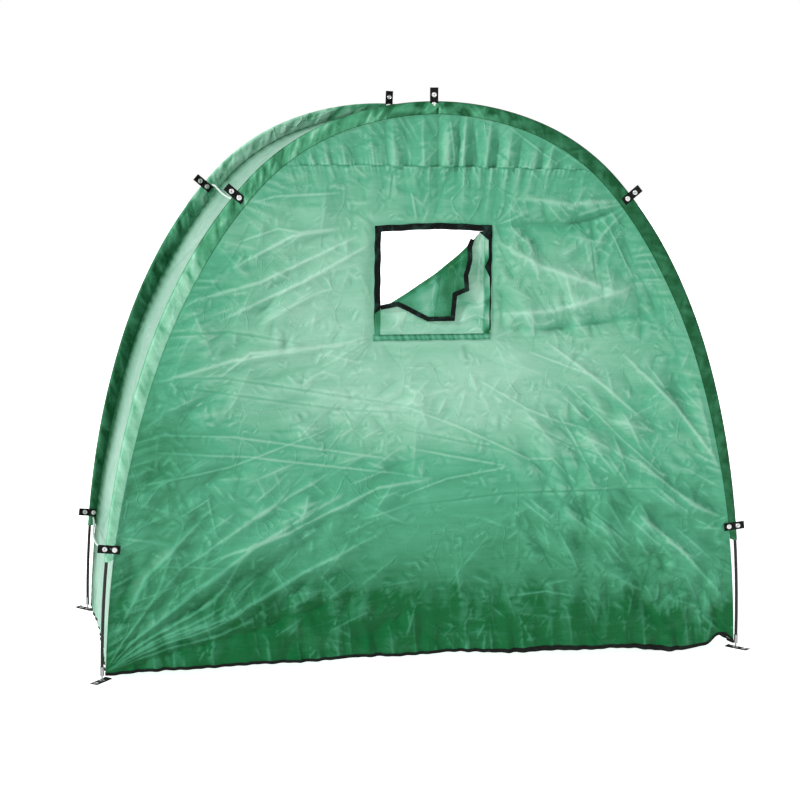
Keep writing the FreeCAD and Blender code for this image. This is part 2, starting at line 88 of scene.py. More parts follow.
class Shader:
    """A material and short ways to add and link its nodes."""

    def __init__(self, name):
        self.material = bpy.data.materials.new(name)
        self.material.use_nodes = True
        self.tree = self.material.node_tree
        self.tree.nodes.clear()
        self.out = self.tree.nodes.new("ShaderNodeOutputMaterial")
        self.bsdf = self.tree.nodes.new("ShaderNodeBsdfPrincipled")
        self.tree.links.new(self.bsdf.outputs[0], self.out.inputs[0])
        self.place = self.tree.nodes.new("ShaderNodeTexCoord").outputs["Object"]

    def node(self, kind, settings=None, **inputs):
        made = self.tree.nodes.new(kind)
        for key, value in (settings or {}).items():
            setattr(made, key, value)
        for key, value in inputs.items():
            self.feed(made.inputs[key.replace("_", " ")], value)
        return made

    def feed(self, socket, value):
        if isinstance(value, bpy.types.NodeSocket):
            self.tree.links.new(value, socket)
        else:
            socket.default_value = value

    def math(self, operation, a, b=0.0):
        made = self.node("ShaderNodeMath", {"operation": operation})
        self.feed(made.inputs[0], a)
        self.feed(made.inputs[1], b)
        return made.outputs[0]

    def times(self, value, factor):
        return self.math("MULTIPLY", value, factor)

    def ramp(self, value, stops):
        made = self.node("ShaderNodeValToRGB")
        self.feed(made.inputs[0], value)
        points = made.color_ramp.elements
        while len(points) < len(stops):
            points.new(0.5)
        for point, (at, colour) in zip(points, stops):
            point.position = at
            point.color = colour
        return made.outputs[0]

    def mix(self, share, a, b, blend="MIX"):
        made = self.node("ShaderNodeMix", {"data_type": "RGBA", "blend_type": blend})
        self.feed(made.inputs[0], share)
        self.feed(made.inputs[6], a)
        self.feed(made.inputs[7], b)
        return made.outputs[2]

    def noise(self, scale, detail=3.0, rough=0.55, distort=0.0, stretch=None):
        place = self.place
        if stretch:
            place = self.node("ShaderNodeMapping", Vector=place, Scale=stretch).outputs[0]
        made = self.node("ShaderNodeTexNoise", Vector=place, Scale=scale, Detail=detail, Roughness=rough,
                         Distortion=distort)
        return made.outputs[0]

    def wave(self, scale, axis):
        made = self.node("ShaderNodeTexWave", {"bands_direction": axis}, Vector=self.place, Scale=scale)
        return made.outputs[1]

    def bump(self, *layers):
        """Chain of bumps, each a (height, strength, distance)."""
        normal = None
        for height, strength, distance in layers:
            made = self.node("ShaderNodeBump", Height=height, Strength=strength, Distance=distance)
            if normal is not None:
                self.feed(made.inputs["Normal"], normal)
            normal = made.outputs[0]
        self.feed(self.bsdf.inputs["Normal"], normal)
        return normal

    def set(self, **inputs):
        for key, value in inputs.items():
            self.feed(self.bsdf.inputs[key.replace("_", " ")], value)
        return self


def taffeta(name, deep, body, pale, see_through=0.18, gloss=0.42, specular=0.12):
    """Thin coated cloth; the mesh's tone attribute runs from deep to pale and carries painted light and shade."""
    s = Shader(name)
    tone = s.node("ShaderNodeAttribute", {"attribute_name": "tone"}).outputs["Fac"]
    mottle = s.times(s.math("SUBTRACT", s.noise(14.0, 5.0, 0.65, 0.4), 0.5), 0.14)
    drift = s.node("ShaderNodeTexNoise", Vector=s.place, Scale=7.0, Detail=2.0).outputs["Color"]
    bent = s.mix(0.05, s.place, drift, "LINEAR_LIGHT")
    creases = []
    for size, width, patches, low, high in ((9.0, 0.035, (5.0, 3.0, 0.6), 0.46, 0.62),
                                            (24.0, 0.05, (8.0, 3.0, 0.6, 0.5), 0.52, 0.64)):
        edge = s.node("ShaderNodeTexVoronoi", {"feature": "DISTANCE_TO_EDGE"}, Vector=bent, Scale=size).outputs[0]
        line = s.ramp(edge, [(0.0, WHITE), (width, BLACK)])
        creases.append(s.times(line, s.ramp(s.noise(*patches), [(low, BLACK), (high, WHITE)])))
    large, small = creases
    # Crease lines and slanted streaks follow the bumps: paler where raised as painted highlight, and the streaks
    # darker where low as painted shade. The crease lines are partly also the pale wear of creased coated cloth.
    crinkle = s.math("ADD", s.times(large, 0.05), s.times(small, 0.04))
    slanted = s.node("ShaderNodeMapping", Vector=s.place, Rotation=(0.0, 0.45, 0.0),
                     Scale=(9.0, 9.0, 60.0)).outputs[0]
    streaks = s.node("ShaderNodeTexNoise", Vector=slanted, Scale=1.0, Detail=4.0, Roughness=0.6).outputs[0]
    crinkle = s.math("ADD", crinkle, s.times(s.math("SUBTRACT", streaks, 0.5), 0.22))
    colour = s.ramp(s.math("ADD", s.math("ADD", tone, mottle), crinkle), [(0.0, deep), (0.5, body), (1.0, pale)])
    weave = s.math("ADD", s.wave(420.0, "X"), s.wave(420.0, "Z"))
    ripples = s.noise(40.0, 4.0, 0.6, 1.0)
    normal = s.bump((large, 0.8, 0.0018), (small, 0.8, 0.0012), (streaks, 0.7, 0.0018), (ripples, 0.6, 0.0016),
                    (weave, 0.25, 0.0001))
    rough = s.math("ADD", s.times(ripples, 0.14), gloss - 0.07)
    s.set(Base_Color=colour, Roughness=rough, Specular_IOR_Level=specular, Sheen_Weight=0.05, Sheen_Roughness=0.4)
    through = s.node("ShaderNodeBsdfTranslucent", Color=colour, Normal=normal)
    both = s.node("ShaderNodeMixShader", Fac=see_through)
    s.tree.links.new(s.bsdf.outputs[0], both.inputs[1])
    s.tree.links.new(through.outputs[0], both.inputs[2])
    s.tree.links.new(both.outputs[0], s.out.inputs[0])
    return s.material


def weave_band(name, dark, light, scale, patches=None, rough=0.75, across="X"):
    """Woven strap or tape: ribs one way, a finer thread the other way."""
    s = Shader(name)
    ribs = s.wave(scale, across)
    thread = s.wave(scale * 2.1, "Y" if across == "X" else "X")
    fuzz = s.noise(260.0, 3.0, 0.6)
    height = s.math("ADD", s.times(ribs, 0.6), s.times(thread, 0.4))
    colour = s.mix(s.times(height, fuzz), dark, light)
    if patches:
        worn = s.ramp(s.noise(34.0, 4.0, 0.6, 0.8), [(0.50, BLACK), (0.70, WHITE)])
        colour = s.mix(worn, colour, patches)
    s.bump((height, 0.5, 0.0006), (fuzz, 0.35, 0.0003))
    s.set(Base_Color=colour, Roughness=rough, Specular_IOR_Level=0.15)
    return s.material


def metal(name, colour, rough, scratch=0.3):
    s = Shader(name)
    brush = s.noise(320.0, 3.0, 0.6, 0.0, (1.0, 1.0, 6.0))
    stain = s.noise(45.0, 4.0, 0.6)
    s.bump((brush, 0.15 * scratch, 0.0003))
    tint = s.mix(s.times(stain, 0.35), colour, tuple(c * 0.55 for c in colour[:3]) + (1.0,))
    s.set(Base_Color=tint, Metallic=1.0, Roughness=s.math("ADD", s.times(stain, 0.2), rough))
    return s.material


def plastic(name, colour, rough):
    s = Shader(name)
    grain = s.noise(180.0, 4.0, 0.6)
    tint = s.mix(s.times(grain, 0.4), colour, tuple(min(1.0, c * 1.8 + 0.004) for c in colour[:3]) + (1.0,))
    s.bump((grain, 0.12, 0.0003))
    s.set(Base_Color=tint, Roughness=s.math("ADD", s.times(grain, 0.12), rough), Specular_IOR_Level=0.5)
    return s.material


def pole_paint():
    """Black wrapped glass-fibre pole under a clear gloss coat."""
    s = Shader("pole_rod")
    strands = s.noise(90.0, 4.0, 0.6, 0.0, (3.0, 3.0, 0.4))
    scuffs = s.noise(24.0, 5.0, 0.7)
    colour = s.mix(s.times(strands, 0.5), srgb(3, 3, 3), srgb(14, 16, 15))
    s.bump((strands, 0.1, 0.0004))
    s.set(Base_Color=colour, Roughness=s.math("ADD", s.times(scuffs, 0.2), 0.30), Coat_Weight=0.1,
          Coat_Roughness=0.2, Specular_IOR_Level=0.25)
    return s.material


def braid():
    """Round braided cord: two crossing sets of strands."""
    s = Shader("tie_cord")
    one = s.node("ShaderNodeMapping", Vector=s.place, Rotation=(0.0, 0.0, 0.7)).outputs[0]
    two = s.node("ShaderNodeMapping", Vector=s.place, Rotation=(0.7, 0.0, -0.7)).outputs[0]
    strands = [s.node("ShaderNodeTexWave", {"bands_direction": "Y"}, Vector=v, Scale=120.0).outputs[1]
               for v in (one, two)]
    height = s.math("MAXIMUM", *strands)
    fuzz = s.noise(500.0, 2.0)
    colour = s.mix(height, srgb(120, 148, 135), srgb(172, 190, 181))
    s.bump((height, 0.6, 0.0008), (fuzz, 0.3, 0.0002))
    s.set(Base_Color=colour, Roughness=0.7, Sheen_Weight=0.3)
    return s.material


wall_green = taffeta("wall_cloth", srgb(3, 83, 41), srgb(73, 145, 114), srgb(147, 186, 166))
sleeve_green = taffeta("sleeve_cloth", srgb(5, 68, 34), srgb(66, 138, 102), srgb(144, 192, 168), 0.06, 0.5, 0.12)
# The roof band's copy of the cloth is paler: a painted reflection of the bright sky, seen on the band at a grazing
# angle.
band_green = taffeta("band_cloth", srgb(12, 78, 44), srgb(112, 160, 138), srgb(186, 204, 195), 0.36)
door_green = taffeta("door_cloth", srgb(8, 76, 38), srgb(70, 142, 108), srgb(140, 188, 164), 0.2)
black_webbing = weave_band("webbing", srgb(2, 3, 3), srgb(16, 18, 17), 230.0)
hook_tape = weave_band("grip_tape", srgb(1, 4, 3), srgb(8, 16, 14), 300.0, srgb(26, 50, 44), 0.9)
black_binding = weave_band("binding", srgb(1, 3, 2), srgb(8, 12, 10), 260.0, srgb(10, 24, 17), 0.7)
stud_nickel = metal("stud_metal", srgb(196, 198, 196), 0.22)
eyelet_nickel = metal("eyelet_metal", srgb(176, 178, 176), 0.25)
ferrule_steel = metal("ferrule_steel", srgb(186, 186, 184), 0.3, 1.0)
tip_steel = metal("pole_tip_metal", srgb(150, 152, 152), 0.3, 1.0)
zip_steel = metal("zip_metal", srgb(120, 122, 122), 0.28)
zip_black = plastic("zip_plastic", srgb(18, 24, 21), 0.42)
elastic_white = weave_band("elastic", srgb(180, 182, 180), srgb(225, 226, 224), 420.0)
pole_black = pole_paint()
cord_mint = braid()


def dress(node, material):
    """Give a carried-over CAD node its material."""
    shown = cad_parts[node]
    shown.data.materials.clear()
    shown.data.materials.append(material)


# ---------------------------------------------------------------- cords
def tie_cord(name, points):
    """Free cord as one NURBS spline through the route's own control points."""
    curve = bpy.data.curves.new(name, "CURVE")
    curve.dimensions = "3D"
    spline = curve.splines.new("NURBS")
    spline.points.add(len(points) - 1)
    for spot, place in zip(spline.points, points):
        spot.co = (*place, 1.0)
    spline.order_u = 3
    spline.use_endpoint_u = True
    spline.resolution_u = 12
    curve.bevel_depth = 0.003
    curve.bevel_resolution = 5
    curve.materials.append(cord_mint)
    made = add_object(f"{name}_line", curve)
    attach(made, "shelter")
    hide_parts(name)
    return made


lower_route = [
    (-0.943, 0.3995, 0.307), (-0.9435, 0.357, 0.306), (-0.947, 0.285, 0.313), (-0.953, 0.208, 0.311),
    (-0.958, 0.128, 0.319), (-0.961, 0.046, 0.320), (-0.962, -0.038, 0.330), (-0.961, -0.122, 0.338),
    (-0.958, -0.206, 0.352), (-0.952, -0.278, 0.364), (-0.945, -0.344, 0.381), (-0.9445, -0.3865, 0.385),
]
upper_route = [
    (-0.551, 0.3995, 1.385), (-0.5515, 0.357, 1.384), (-0.555, 0.285, 1.3845), (-0.559, 0.208, 1.380),
    (-0.565, 0.128, 1.3795), (-0.568, 0.046, 1.3755), (-0.574, -0.038, 1.3755), (-0.577, -0.122, 1.372),
    (-0.582, -0.206, 1.373), (-0.584, -0.278, 1.371), (-0.588, -0.344, 1.373), (-0.588, -0.3865, 1.373),
]
lower_cord = tie_cord("lower_tie_cord", lower_route)
upper_cord = tie_cord("upper_tie_cord", upper_route)


# ---------------------------------------------------------------- the arch curve
ARCH_HEIGHT = 1.65
HALF_SECTION = 0.3042
BEND_RADII = (0.835, 0.655, 1.25, 1.64, 2.43, 2.87, 3.59)
NEAR = -0.4
FAR = 0.4
PATH_END = HALF_SECTION * len(BEND_RADII)


def arch_table():
    """Path length, x, z and angle of the outward normal, crown to ground, every millimetre or so."""
    rows = []
    x, z, angle = 0.0, ARCH_HEIGHT, 0.0
    for k, radius in enumerate(BEND_RADII):
        turn = np.linspace(0.0, HALF_SECTION / radius, 300)
        cx, cz = x - radius * math.sin(angle), z - radius * math.cos(angle)
        rows.append(np.stack([k * HALF_SECTION + turn * radius, cx + radius * np.sin(angle + turn),
                              cz + radius * np.cos(angle + turn), angle + turn]))
        x, z, angle = rows[-1][1, -1], rows[-1][2, -1], angle + HALF_SECTION / radius
    return np.concatenate(rows, axis=1)


ARCH = arch_table()


def seam_inset(path):
    return np.interp(np.abs(path), (0.0, 0.9, 1.45, 1.79, 2.14), (0.037, 0.046, 0.037, 0.025, 0.016))


def arch(path, inset=0.0):
    """x, z and normal angle at path lengths and insets; negative paths are on the left."""
    side = np.where(np.asarray(path) < 0, -1.0, 1.0)
    x, z, angle = (np.interp(np.abs(path), ARCH[0], ARCH[k]) for k in (1, 2, 3))
    return side * (x - inset * np.sin(angle)), z - inset * np.cos(angle), side * angle


def path_at_height(height):
    return float(np.interp(-height, -ARCH[2], ARCH[0]))


SEAM_PATHS = np.linspace(0.0, PATH_END, 1200)
SEAM_X, SEAM_Z, _ = arch(SEAM_PATHS, seam_inset(SEAM_PATHS))


def half_width(z):
    """Half width of a wall, out to its seam with the sleeve, at a height."""
    return np.interp(-z, -SEAM_Z, SEAM_X)


def seam_distance(x, z):
    """Distance from the nearest point of the outer fold, and the path length there, both signed like x."""
    path = np.interp(np.arctan2(np.abs(x), z - 0.55), np.arctan2(ARCH[1], ARCH[2] - 0.55), ARCH[0])
    for _ in range(3):
        ax, az, angle = arch(path)
        path = np.clip(path + (np.abs(x) - ax) * np.cos(angle) - (z - az) * np.sin(angle), 0.0, PATH_END)
    ax, az, angle = arch(path)
    inset = (ax - np.abs(x)) * np.sin(angle) + (az - z) * np.cos(angle)
    return np.where(x < 0, -path, path), inset


# ---------------------------------------------------------------- folds and creases
def bell(value, middle, spread):
    return np.exp(-(((value - middle) / spread) ** 2))


def waves(x, z, count, shortest, longest, seed):
    """Sum of slow random waves with heights in proportion to their lengths, about -1 to 1."""
    rng = np.random.default_rng(seed)
    total = np.zeros_like(x)
    for _ in range(count):
        length = shortest * (longest / shortest) ** rng.random()
        turn, phase = rng.uniform(0, 2 * math.pi, 2)
        total += np.sin((x * math.cos(turn) + z * math.sin(turn)) * 2 * math.pi / length + phase) * length
    return total / (longest * math.sqrt(count) * 0.6)


def along_line(x, z, line):
    """Distance from a line of points, and how far along it the nearest point is, 0 to 1."""
    line = np.asarray(line, float)
    runs = np.hypot(*np.diff(line, axis=0).T)
    away = np.full(np.shape(x), 9.0)
    along = np.zeros(np.shape(x))
    for k, run in enumerate(runs):
        (ax, az), (bx, bz) = line[k], line[k + 1]
        t = np.clip(((x - ax) * (bx - ax) + (z - az) * (bz - az)) / run ** 2, 0.0, 1.0)
        gap = np.hypot(x - ax - t * (bx - ax), z - az - t * (bz - az))
        along = np.where(gap < away, (runs[:k].sum() + t * run) / runs.sum(), along)
        away = np.minimum(away, gap)
    return away, along


def ridge(x, z, line, height, width, soft=0.3):
    """One fold along a line of points that dies out at its ends; a low soft makes its top sharp."""
    away, along = along_line(x, z, line)
    across = away / width
    return height * np.sin(np.pi * along) ** 0.7 * np.exp(-(across ** 2) / (across + soft))


def fan(x, z, origin, first, last, count, height, reach, seed, soft=0.35):
    """Tension folds that spread out from a point between two angles in degrees."""
    rng = np.random.default_rng(seed)
    r = np.hypot(x - origin[0], z - origin[1])
    angle = np.degrees(np.arctan2(z - origin[1], x - origin[0]))
    angle = angle + 6.0 * waves(x, z, 5, 0.25, 0.8, seed + 1)
    total = np.zeros_like(x)
    for place in first + (last - first) * (np.arange(count) + rng.uniform(-0.35, 0.35, count) + 0.5) / count:
        far = reach * rng.uniform(0.45, 1.0)
        width = (last - first) / count * rng.uniform(0.22, 0.5)
        across = np.abs((angle - place + 180.0) % 360.0 - 180.0) / width
        grow = r / (0.3 * far)
        reach_of = grow * np.exp(1.0 - grow) * np.clip(1.0 - r / far, 0.0, 1.0)
        lift = rng.uniform(0.5, 1.0) * rng.choice((-0.6, 1.0), p=(0.35, 0.65))
        total += lift * reach_of * np.exp(-(across ** 2) / (across + soft))
    return height * total


def crumple(x, z, low, high, count, size, height, seed, lean=None):
    """Small sharp-topped facets at random places in a box; lean is their usual direction in degrees."""
    rng = np.random.default_rng(seed)
    total = np.zeros_like(x)
    for _ in range(count):
        cx, cz = rng.uniform(low, high)
        r = size * rng.uniform(0.5, 1.6)
        turn = rng.uniform(0, math.pi) if lean is None else math.radians(rng.normal(lean, 16.0))
        lift = rng.uniform(0.3, 1.0) * rng.choice((-1.0, 1.0))
        near = (np.abs(x - cx) < r) & (np.abs(z - cz) < r)
        dx, dz = x[near] - cx, z[near] - cz
        window = np.clip(1.0 - (dx ** 2 + dz ** 2) / r ** 2, 0.0, 1.0) ** 2
        across = np.abs(dz * math.cos(turn) - dx * math.sin(turn)) / r
        total[near] += lift * (r / size) * window * (0.35 - across)
    return height * total


def gathers(run, spacing, seed):
    """Row of gathers along a seam, -1 to 1, with uneven spacing."""
    rng = np.random.default_rng(seed)
    stops = np.cumsum(rng.uniform(0.45, 1.55, 600)) * spacing
    stops = stops - stops[-1] / 2
    heights = rng.uniform(0.25, 1.0, 600) * np.where(np.arange(600) % 2, 1.0, -1.0)
    middle = np.interp(run, stops, heights)
    return np.sin(middle * math.pi / 2)


# Long folds of the near wall as (points, height, width), broad ones first, then crisp packing creases. Most of the
# points were traced from the reference with a helper program and rounded to centimetres.
BROAD_FOLDS = (
    (((-0.95, 0.06), (-0.70, 0.25), (-0.53, 0.38), (-0.24, 0.54)), 0.014, 0.020),
    (((-0.94, 0.05), (-0.59, 0.18), (-0.38, 0.30), (-0.14, 0.41)), 0.010, 0.013),
    (((-0.93, 0.05), (-0.52, 0.13), (-0.20, 0.24)), -0.007, 0.020),
    (((-0.69, 0.33), (-0.42, 0.42), (-0.16, 0.54), (0.00, 0.56)), 0.008, 0.010),
    (((-0.92, 0.12), (-0.74, 0.32), (-0.50, 0.48), (-0.20, 0.64)), 0.008, 0.018),
    (((-0.94, 0.10), (-0.84, 0.30), (-0.62, 0.52)), 0.008, 0.014),
    (((0.16, 1.26), (0.31, 1.18), (0.58, 1.09)), 0.013, 0.022),
    (((0.17, 1.30), (0.38, 1.30), (0.60, 1.36)), -0.012, 0.022),
    (((0.20, 1.38), (0.40, 1.36), (0.60, 1.38)), 0.009, 0.018),
    (((0.17, 1.04), (0.35, 1.05), (0.60, 1.12)), 0.012, 0.018),
    (((0.17, 1.00), (0.40, 1.00), (0.70, 1.04)), -0.008, 0.020),
    (((-0.80, 0.86), (-0.59, 0.92), (-0.23, 0.97)), 0.006, 0.009),
    (((-0.63, 0.87), (-0.54, 0.94), (-0.27, 0.96)), 0.006, 0.008),
    (((-0.70, 1.09), (-0.51, 1.14), (-0.23, 1.27)), 0.006, 0.009),
    (((-0.63, 1.03), (-0.39, 1.14), (-0.19, 1.25)), 0.007, 0.010),
    (((-0.59, 1.18), (-0.42, 1.27), (-0.28, 1.29)), 0.005, 0.008),
    (((0.33, 0.96), (0.47, 0.86), (0.64, 0.72)), 0.006, 0.010),
    (((0.57, 0.92), (0.74, 0.76), (0.90, 0.56)), 0.007, 0.010),
    (((0.62, 0.45), (0.79, 0.30), (0.92, 0.16)), 0.009, 0.014),
    (((0.94, 0.40), (0.80, 0.46), (0.60, 0.62)), 0.009, 0.014),
    (((0.94, 0.44), (0.86, 0.62), (0.80, 0.84)), 0.008, 0.014),
)
CRISP_CREASES = (
    ((-0.77, 0.85), (-0.27, 0.77), (0.02, 0.75)), ((-0.81, 0.71), (-0.59, 0.70), (-0.11, 0.62)),
    ((-0.82, 0.66), (-0.54, 0.64), (-0.12, 0.58), (0.00, 0.56)), ((-0.81, 0.87), (-0.62, 0.87), (0.02, 0.76)),
    ((-0.58, 1.25), (-0.46, 1.29), (-0.40, 1.28), (-0.30, 1.29)), ((-0.54, 1.36), (-0.47, 1.38), (-0.28, 1.39)),
    ((-0.10, 0.48), (0.22, 0.51), (0.70, 0.51)), ((-0.06, 0.65), (0.23, 0.59)),
    ((-0.10, 0.51), (0.04, 0.56), (0.23, 0.59)), ((-0.10, 0.71), (0.26, 0.63)),
    ((-0.10, 0.78), (0.08, 0.71), (0.29, 0.61), (0.36, 0.61), (0.44, 0.53)),
    ((0.13, 0.85), (0.28, 0.76), (0.38, 0.72), (0.49, 0.69)), ((0.25, 0.73), (0.41, 0.65), (0.55, 0.60)),
    ((0.38, 0.74), (0.43, 0.66), (0.48, 0.57)), ((0.39, 0.84), (0.58, 0.66), (0.74, 0.52)),
    ((0.43, 0.49), (0.62, 0.34)), ((0.23, 0.20), (0.35, 0.21), (0.44, 0.19)), ((0.28, 0.93), (0.52, 0.84)),
    ((0.46, 1.26), (0.48, 1.12)), ((0.51, 1.30), (0.60, 1.13)), ((0.63, 1.21), (0.68, 1.13)),
    ((-0.13, 1.46), (-0.14, 1.37)), ((-0.08, 1.40), (-0.06, 1.31)), ((0.03, 1.62), (0.05, 1.47)),
    ((0.10, 1.61), (0.12, 1.47)), ((0.18, 1.60), (0.36, 1.47)), ((0.30, 1.55), (0.45, 1.46)),
    ((-0.54, 0.25), (-0.53, 0.18), (-0.51, 0.07)), ((-0.88, 0.56), (-0.60, 0.61), (-0.30, 0.72)),
    ((-0.74, 0.47), (-0.66, 0.52), (-0.64, 0.42)), ((-0.86, 0.99), (-0.60, 1.00), (-0.20, 0.93)),
)
# Tension folds from the wall's corners, tabs and window: origin, angles from and to, count, height, reach, seed and
# softness. Then crumpled facets: two corners of a box, count, size, height, seed and usual direction.
WALL_FANS = (
    ((-0.955, 0.03), 14, 62, 9, 0.011, 1.25, 11, 0.8), ((0.955, 0.03), 116, 160, 4, 0.006, 0.8, 12, 1.0),
    ((-0.59, 1.37), -62, 4, 5, 0.0045, 0.60, 13, 1.0), ((0.60, 1.37), 178, 250, 6, 0.0080, 0.70, 14, 0.8),
    ((0.93, 0.42), 130, 215, 4, 0.0045, 0.45, 15, 1.0), ((-0.93, 0.42), -20, 52, 4, 0.0040, 0.45, 16, 1.0),
    ((0.17, 1.30), 5, 75, 5, 0.0025, 0.30, 17), ((0.17, 0.97), -75, 20, 5, 0.0020, 0.35, 18),
    ((-0.19, 0.97), 175, 255, 4, 0.0020, 0.35, 19),
)
WALL_CRUMPLES = (
    ((-0.95, 0.05), (0.95, 1.60), 170, 0.080, 0.014, 31), ((-0.95, 0.05), (0.95, 1.60), 560, 0.034, 0.0075, 32),
    ((-0.95, 0.05), (0.95, 1.60), 1500, 0.017, 0.0030, 39),
    ((0.30, 0.28), (0.90, 0.86), 120, 0.070, 0.026, 33, 136.0),
    ((-0.90, 0.12), (-0.10, 0.62), 100, 0.080, 0.020, 34, 30.0),
    ((-0.85, 0.70), (-0.20, 1.30), 80, 0.075, 0.015, 37, 22.0),
    ((0.17, 0.98), (0.72, 1.36), 70, 0.060, 0.016, 35, 110.0), ((0.60, 0.14), (0.94, 0.36), 26, 0.080, 0.014, 36),
    ((-0.90, 0.03), (0.90, 0.22), 110, 0.055, 0.012, 38, 95.0),
)


def wall_shape(x, z):
    """How far the near wall's cloth stands out of its plane, in metres."""
    path, inset = seam_distance(x, z)
    d = 0.007 * waves(x, z, 10, 0.45, 1.4, 3)
    for line, height, width in BROAD_FOLDS:
        d += ridge(x, z, line, 1.4 * height, width, 0.5)
    for k, line in enumerate(CRISP_CREASES):
        d += ridge(x, z, line, 0.0030 if k % 3 else -0.0026, 0.0042, 0.05)
    for row in WALL_FANS:
        d += fan(x, z, *row)
    for row in WALL_CRUMPLES:
        d += crumple(x, z, *row)
    # gathers at the panel seam, the arch seam and the hem
    seam = panel_seam(x)
    above = np.clip(z - seam, 0.0, None)
    below = np.clip(seam - z, 0.0, None)
    spread = x / (1.0 + 0.8 * np.clip(z - seam, -0.15, 0.15))
    pleated = 0.35 + 0.65 * bell(x, 0.10, 0.22)
    d += gathers(spread, 0.030, 41) * 0.0125 * pleated * np.exp(-above / 0.25) * (z >= seam)
    d += gathers(spread, 0.008, 45) * 0.0012 * np.exp(-np.abs(z - seam) / 0.012)
    d += gathers(spread, 0.024, 42) * 0.0040 * np.exp(-below / 0.06) * pleated * (z < seam)
    tucked = 0.4 + 0.6 * np.clip(waves(path, np.zeros_like(path), 6, 0.10, 0.5, 46) + 0.3, 0.0, 1.0)
    d += gathers(path + 0.55 * np.sign(path) * inset, 0.019, 43) * 0.0026 * tucked * np.exp(
        -((inset - 0.04) / 0.045) ** 2)
    d += gathers(x + 0.10 * z, 0.033, 44) * 0.0045 * np.exp(-(z - 0.03) / 0.09)
    d *= 0.18 + 0.82 * np.clip((inset - seam_inset(path)) / 0.05, 0.0, 1.0)
    # the bands sewn round the window hold the cloth nearly flat, and just under it the opened flap needs room
    around = np.maximum(np.abs(x + 0.0105) - 0.172, np.abs(z - 1.1325) - 0.165)
    d *= 1.0 - 0.88 * np.exp(-(np.clip(around, 0.0, None) / 0.022) ** 2)
    most = 0.0010 + 0.030 * np.clip(0.987 - z, 0.0, None)
    most = most + 0.5 * np.clip(np.abs(x + 0.0105) - 0.175, 0.0, None)
    most = most + 2.0 * np.clip(z - 0.987, 0.0, None)
    return np.where(d > most, most + 0.1 * np.tanh(np.clip(d - most, 0.0, None) / 0.03) * 0.03, d) - 0.0006


LATTICE = 0.0025
lattice_x, lattice_z = np.meshgrid(np.arange(-1.0, 1.0001, LATTICE), np.arange(0.0, 1.6601, LATTICE))


def reader(field):
    """Function that reads a lattice field between its points."""
    def read(x, z):
        u = np.clip((x + 1.0) / LATTICE, 0, field.shape[1] - 1.001)
        v = np.clip(z / LATTICE, 0, field.shape[0] - 1.001)
        i, j = np.floor(u).astype(int), np.floor(v).astype(int)
        u, v = u - i, v - j
        low = field[j, i] * (1 - u) + field[j, i + 1] * u
        return low * (1 - v) + (field[j + 1, i] * (1 - u) + field[j + 1, i + 1] * u) * v
    return read


def bend_of(field, step=1.0):
    """How sharply a field is folded outwards, for paler ridges and darker hollows: partly the pale line that a
    crease wears into coated cloth, partly painted highlight and painted shade.
    """
    down, over = (np.gradient(np.gradient(field, axis=k), axis=k) for k in (0, 1))
    return -(down + over) / step ** 2


def window_lift(x, z):
    """The top of the window is drawn up a little in its middle."""
    return 0.009 * bell(x, 0.0, 0.13) * bell(z, 1.288, 0.035)


def panel_seam(x):
    """Height of the gathered seam across the top of the near wall."""
    return 1.4665 - 0.004 * (x / 0.45) ** 2 - 0.0045 * x / 0.45


def hem_height(x):
    """Height of the near wall's lower edge, which scallops up beside its right foot."""
    return (0.039 - 0.015 * (x / 0.955) ** 2 + 0.030 * bell(x, 0.915, 0.034)
            - 0.012 * bell(x, 0.76, 0.10) + 0.003 * np.sin(x * 21.0) * bell(x, 0.1, 0.7))


wall_lattice = wall_shape(lattice_x, lattice_z)
wall_folds = reader(wall_lattice)
# wall_creases and wall_bands only set the wall's tone: painted light and shade of its folds and creases, the crease
# lines partly also wear.
wall_creases = reader(np.clip(bend_of(wall_lattice, LATTICE), -22.0, 70.0) / 100.0)
wall_bands = reader(sum(ridge(lattice_x, lattice_z, line, np.sign(height), 1.7 * width, 1.0)
                        for line, height, width in BROAD_FOLDS))


# ---------------------------------------------------------------- meshes
def grid_faces(rows, cols, wrap=False):
    index = np.arange(rows * cols).reshape(rows, cols)
    if wrap:
        index = np.concatenate([index, index[:, :1]], axis=1)
    quads = np.stack([index[:-1, :-1], index[:-1, 1:], index[1:, 1:], index[1:, :-1]], axis=-1)
    return quads.reshape(-1, 4)


def add_mesh(name, points, faces, material, tone=None):
    mesh = bpy.data.meshes.new(name)
    mesh.from_pydata(np.asarray(points, float).reshape(-1, 3), [], np.asarray(faces))
    mesh.materials.append(material)
    mesh.shade_smooth()
    made = add_object(name, mesh)
    if tone is not None:
        set_tone(made, tone)
    return made


def set_tone(piece, tone):
    layer = piece.data.attributes.new("tone", "FLOAT", "POINT")
    layer.data.foreach_set("value", np.clip(tone, 0.0, 1.0).astype(np.float32).ravel())


def corners_of(piece):
    flat = np.zeros(len(piece.data.vertices) * 3)
    piece.data.vertices.foreach_get("co", flat)
    return flat.reshape(-1, 3)


def place_corners(piece, points):
    piece.data.vertices.foreach_set("co", points.ravel())
    piece.data.update()


def cut_out(piece, lines, gone):
    """Cut the flat mesh along lines (axis, value) and delete the faces whose middle passes gone(x, z)."""
    work = bmesh.new()
    work.from_mesh(piece.data)
    for axis, value in lines:
        normal = (1, 0, 0) if axis == "x" else (0, 0, 1)
        spot = (value, 0, 0) if axis == "x" else (0, 0, value)
        bmesh.ops.bisect_plane(work, geom=work.verts[:] + work.edges[:] + work.faces[:], dist=1e-6,
                               plane_co=spot, plane_no=normal)
    doomed = [f for f in work.faces if gone(*(f.calc_center_median()[k] for k in (0, 2)))]
    bmesh.ops.delete(work, geom=doomed, context="FACES")
    work.to_mesh(piece.data)
    work.free()


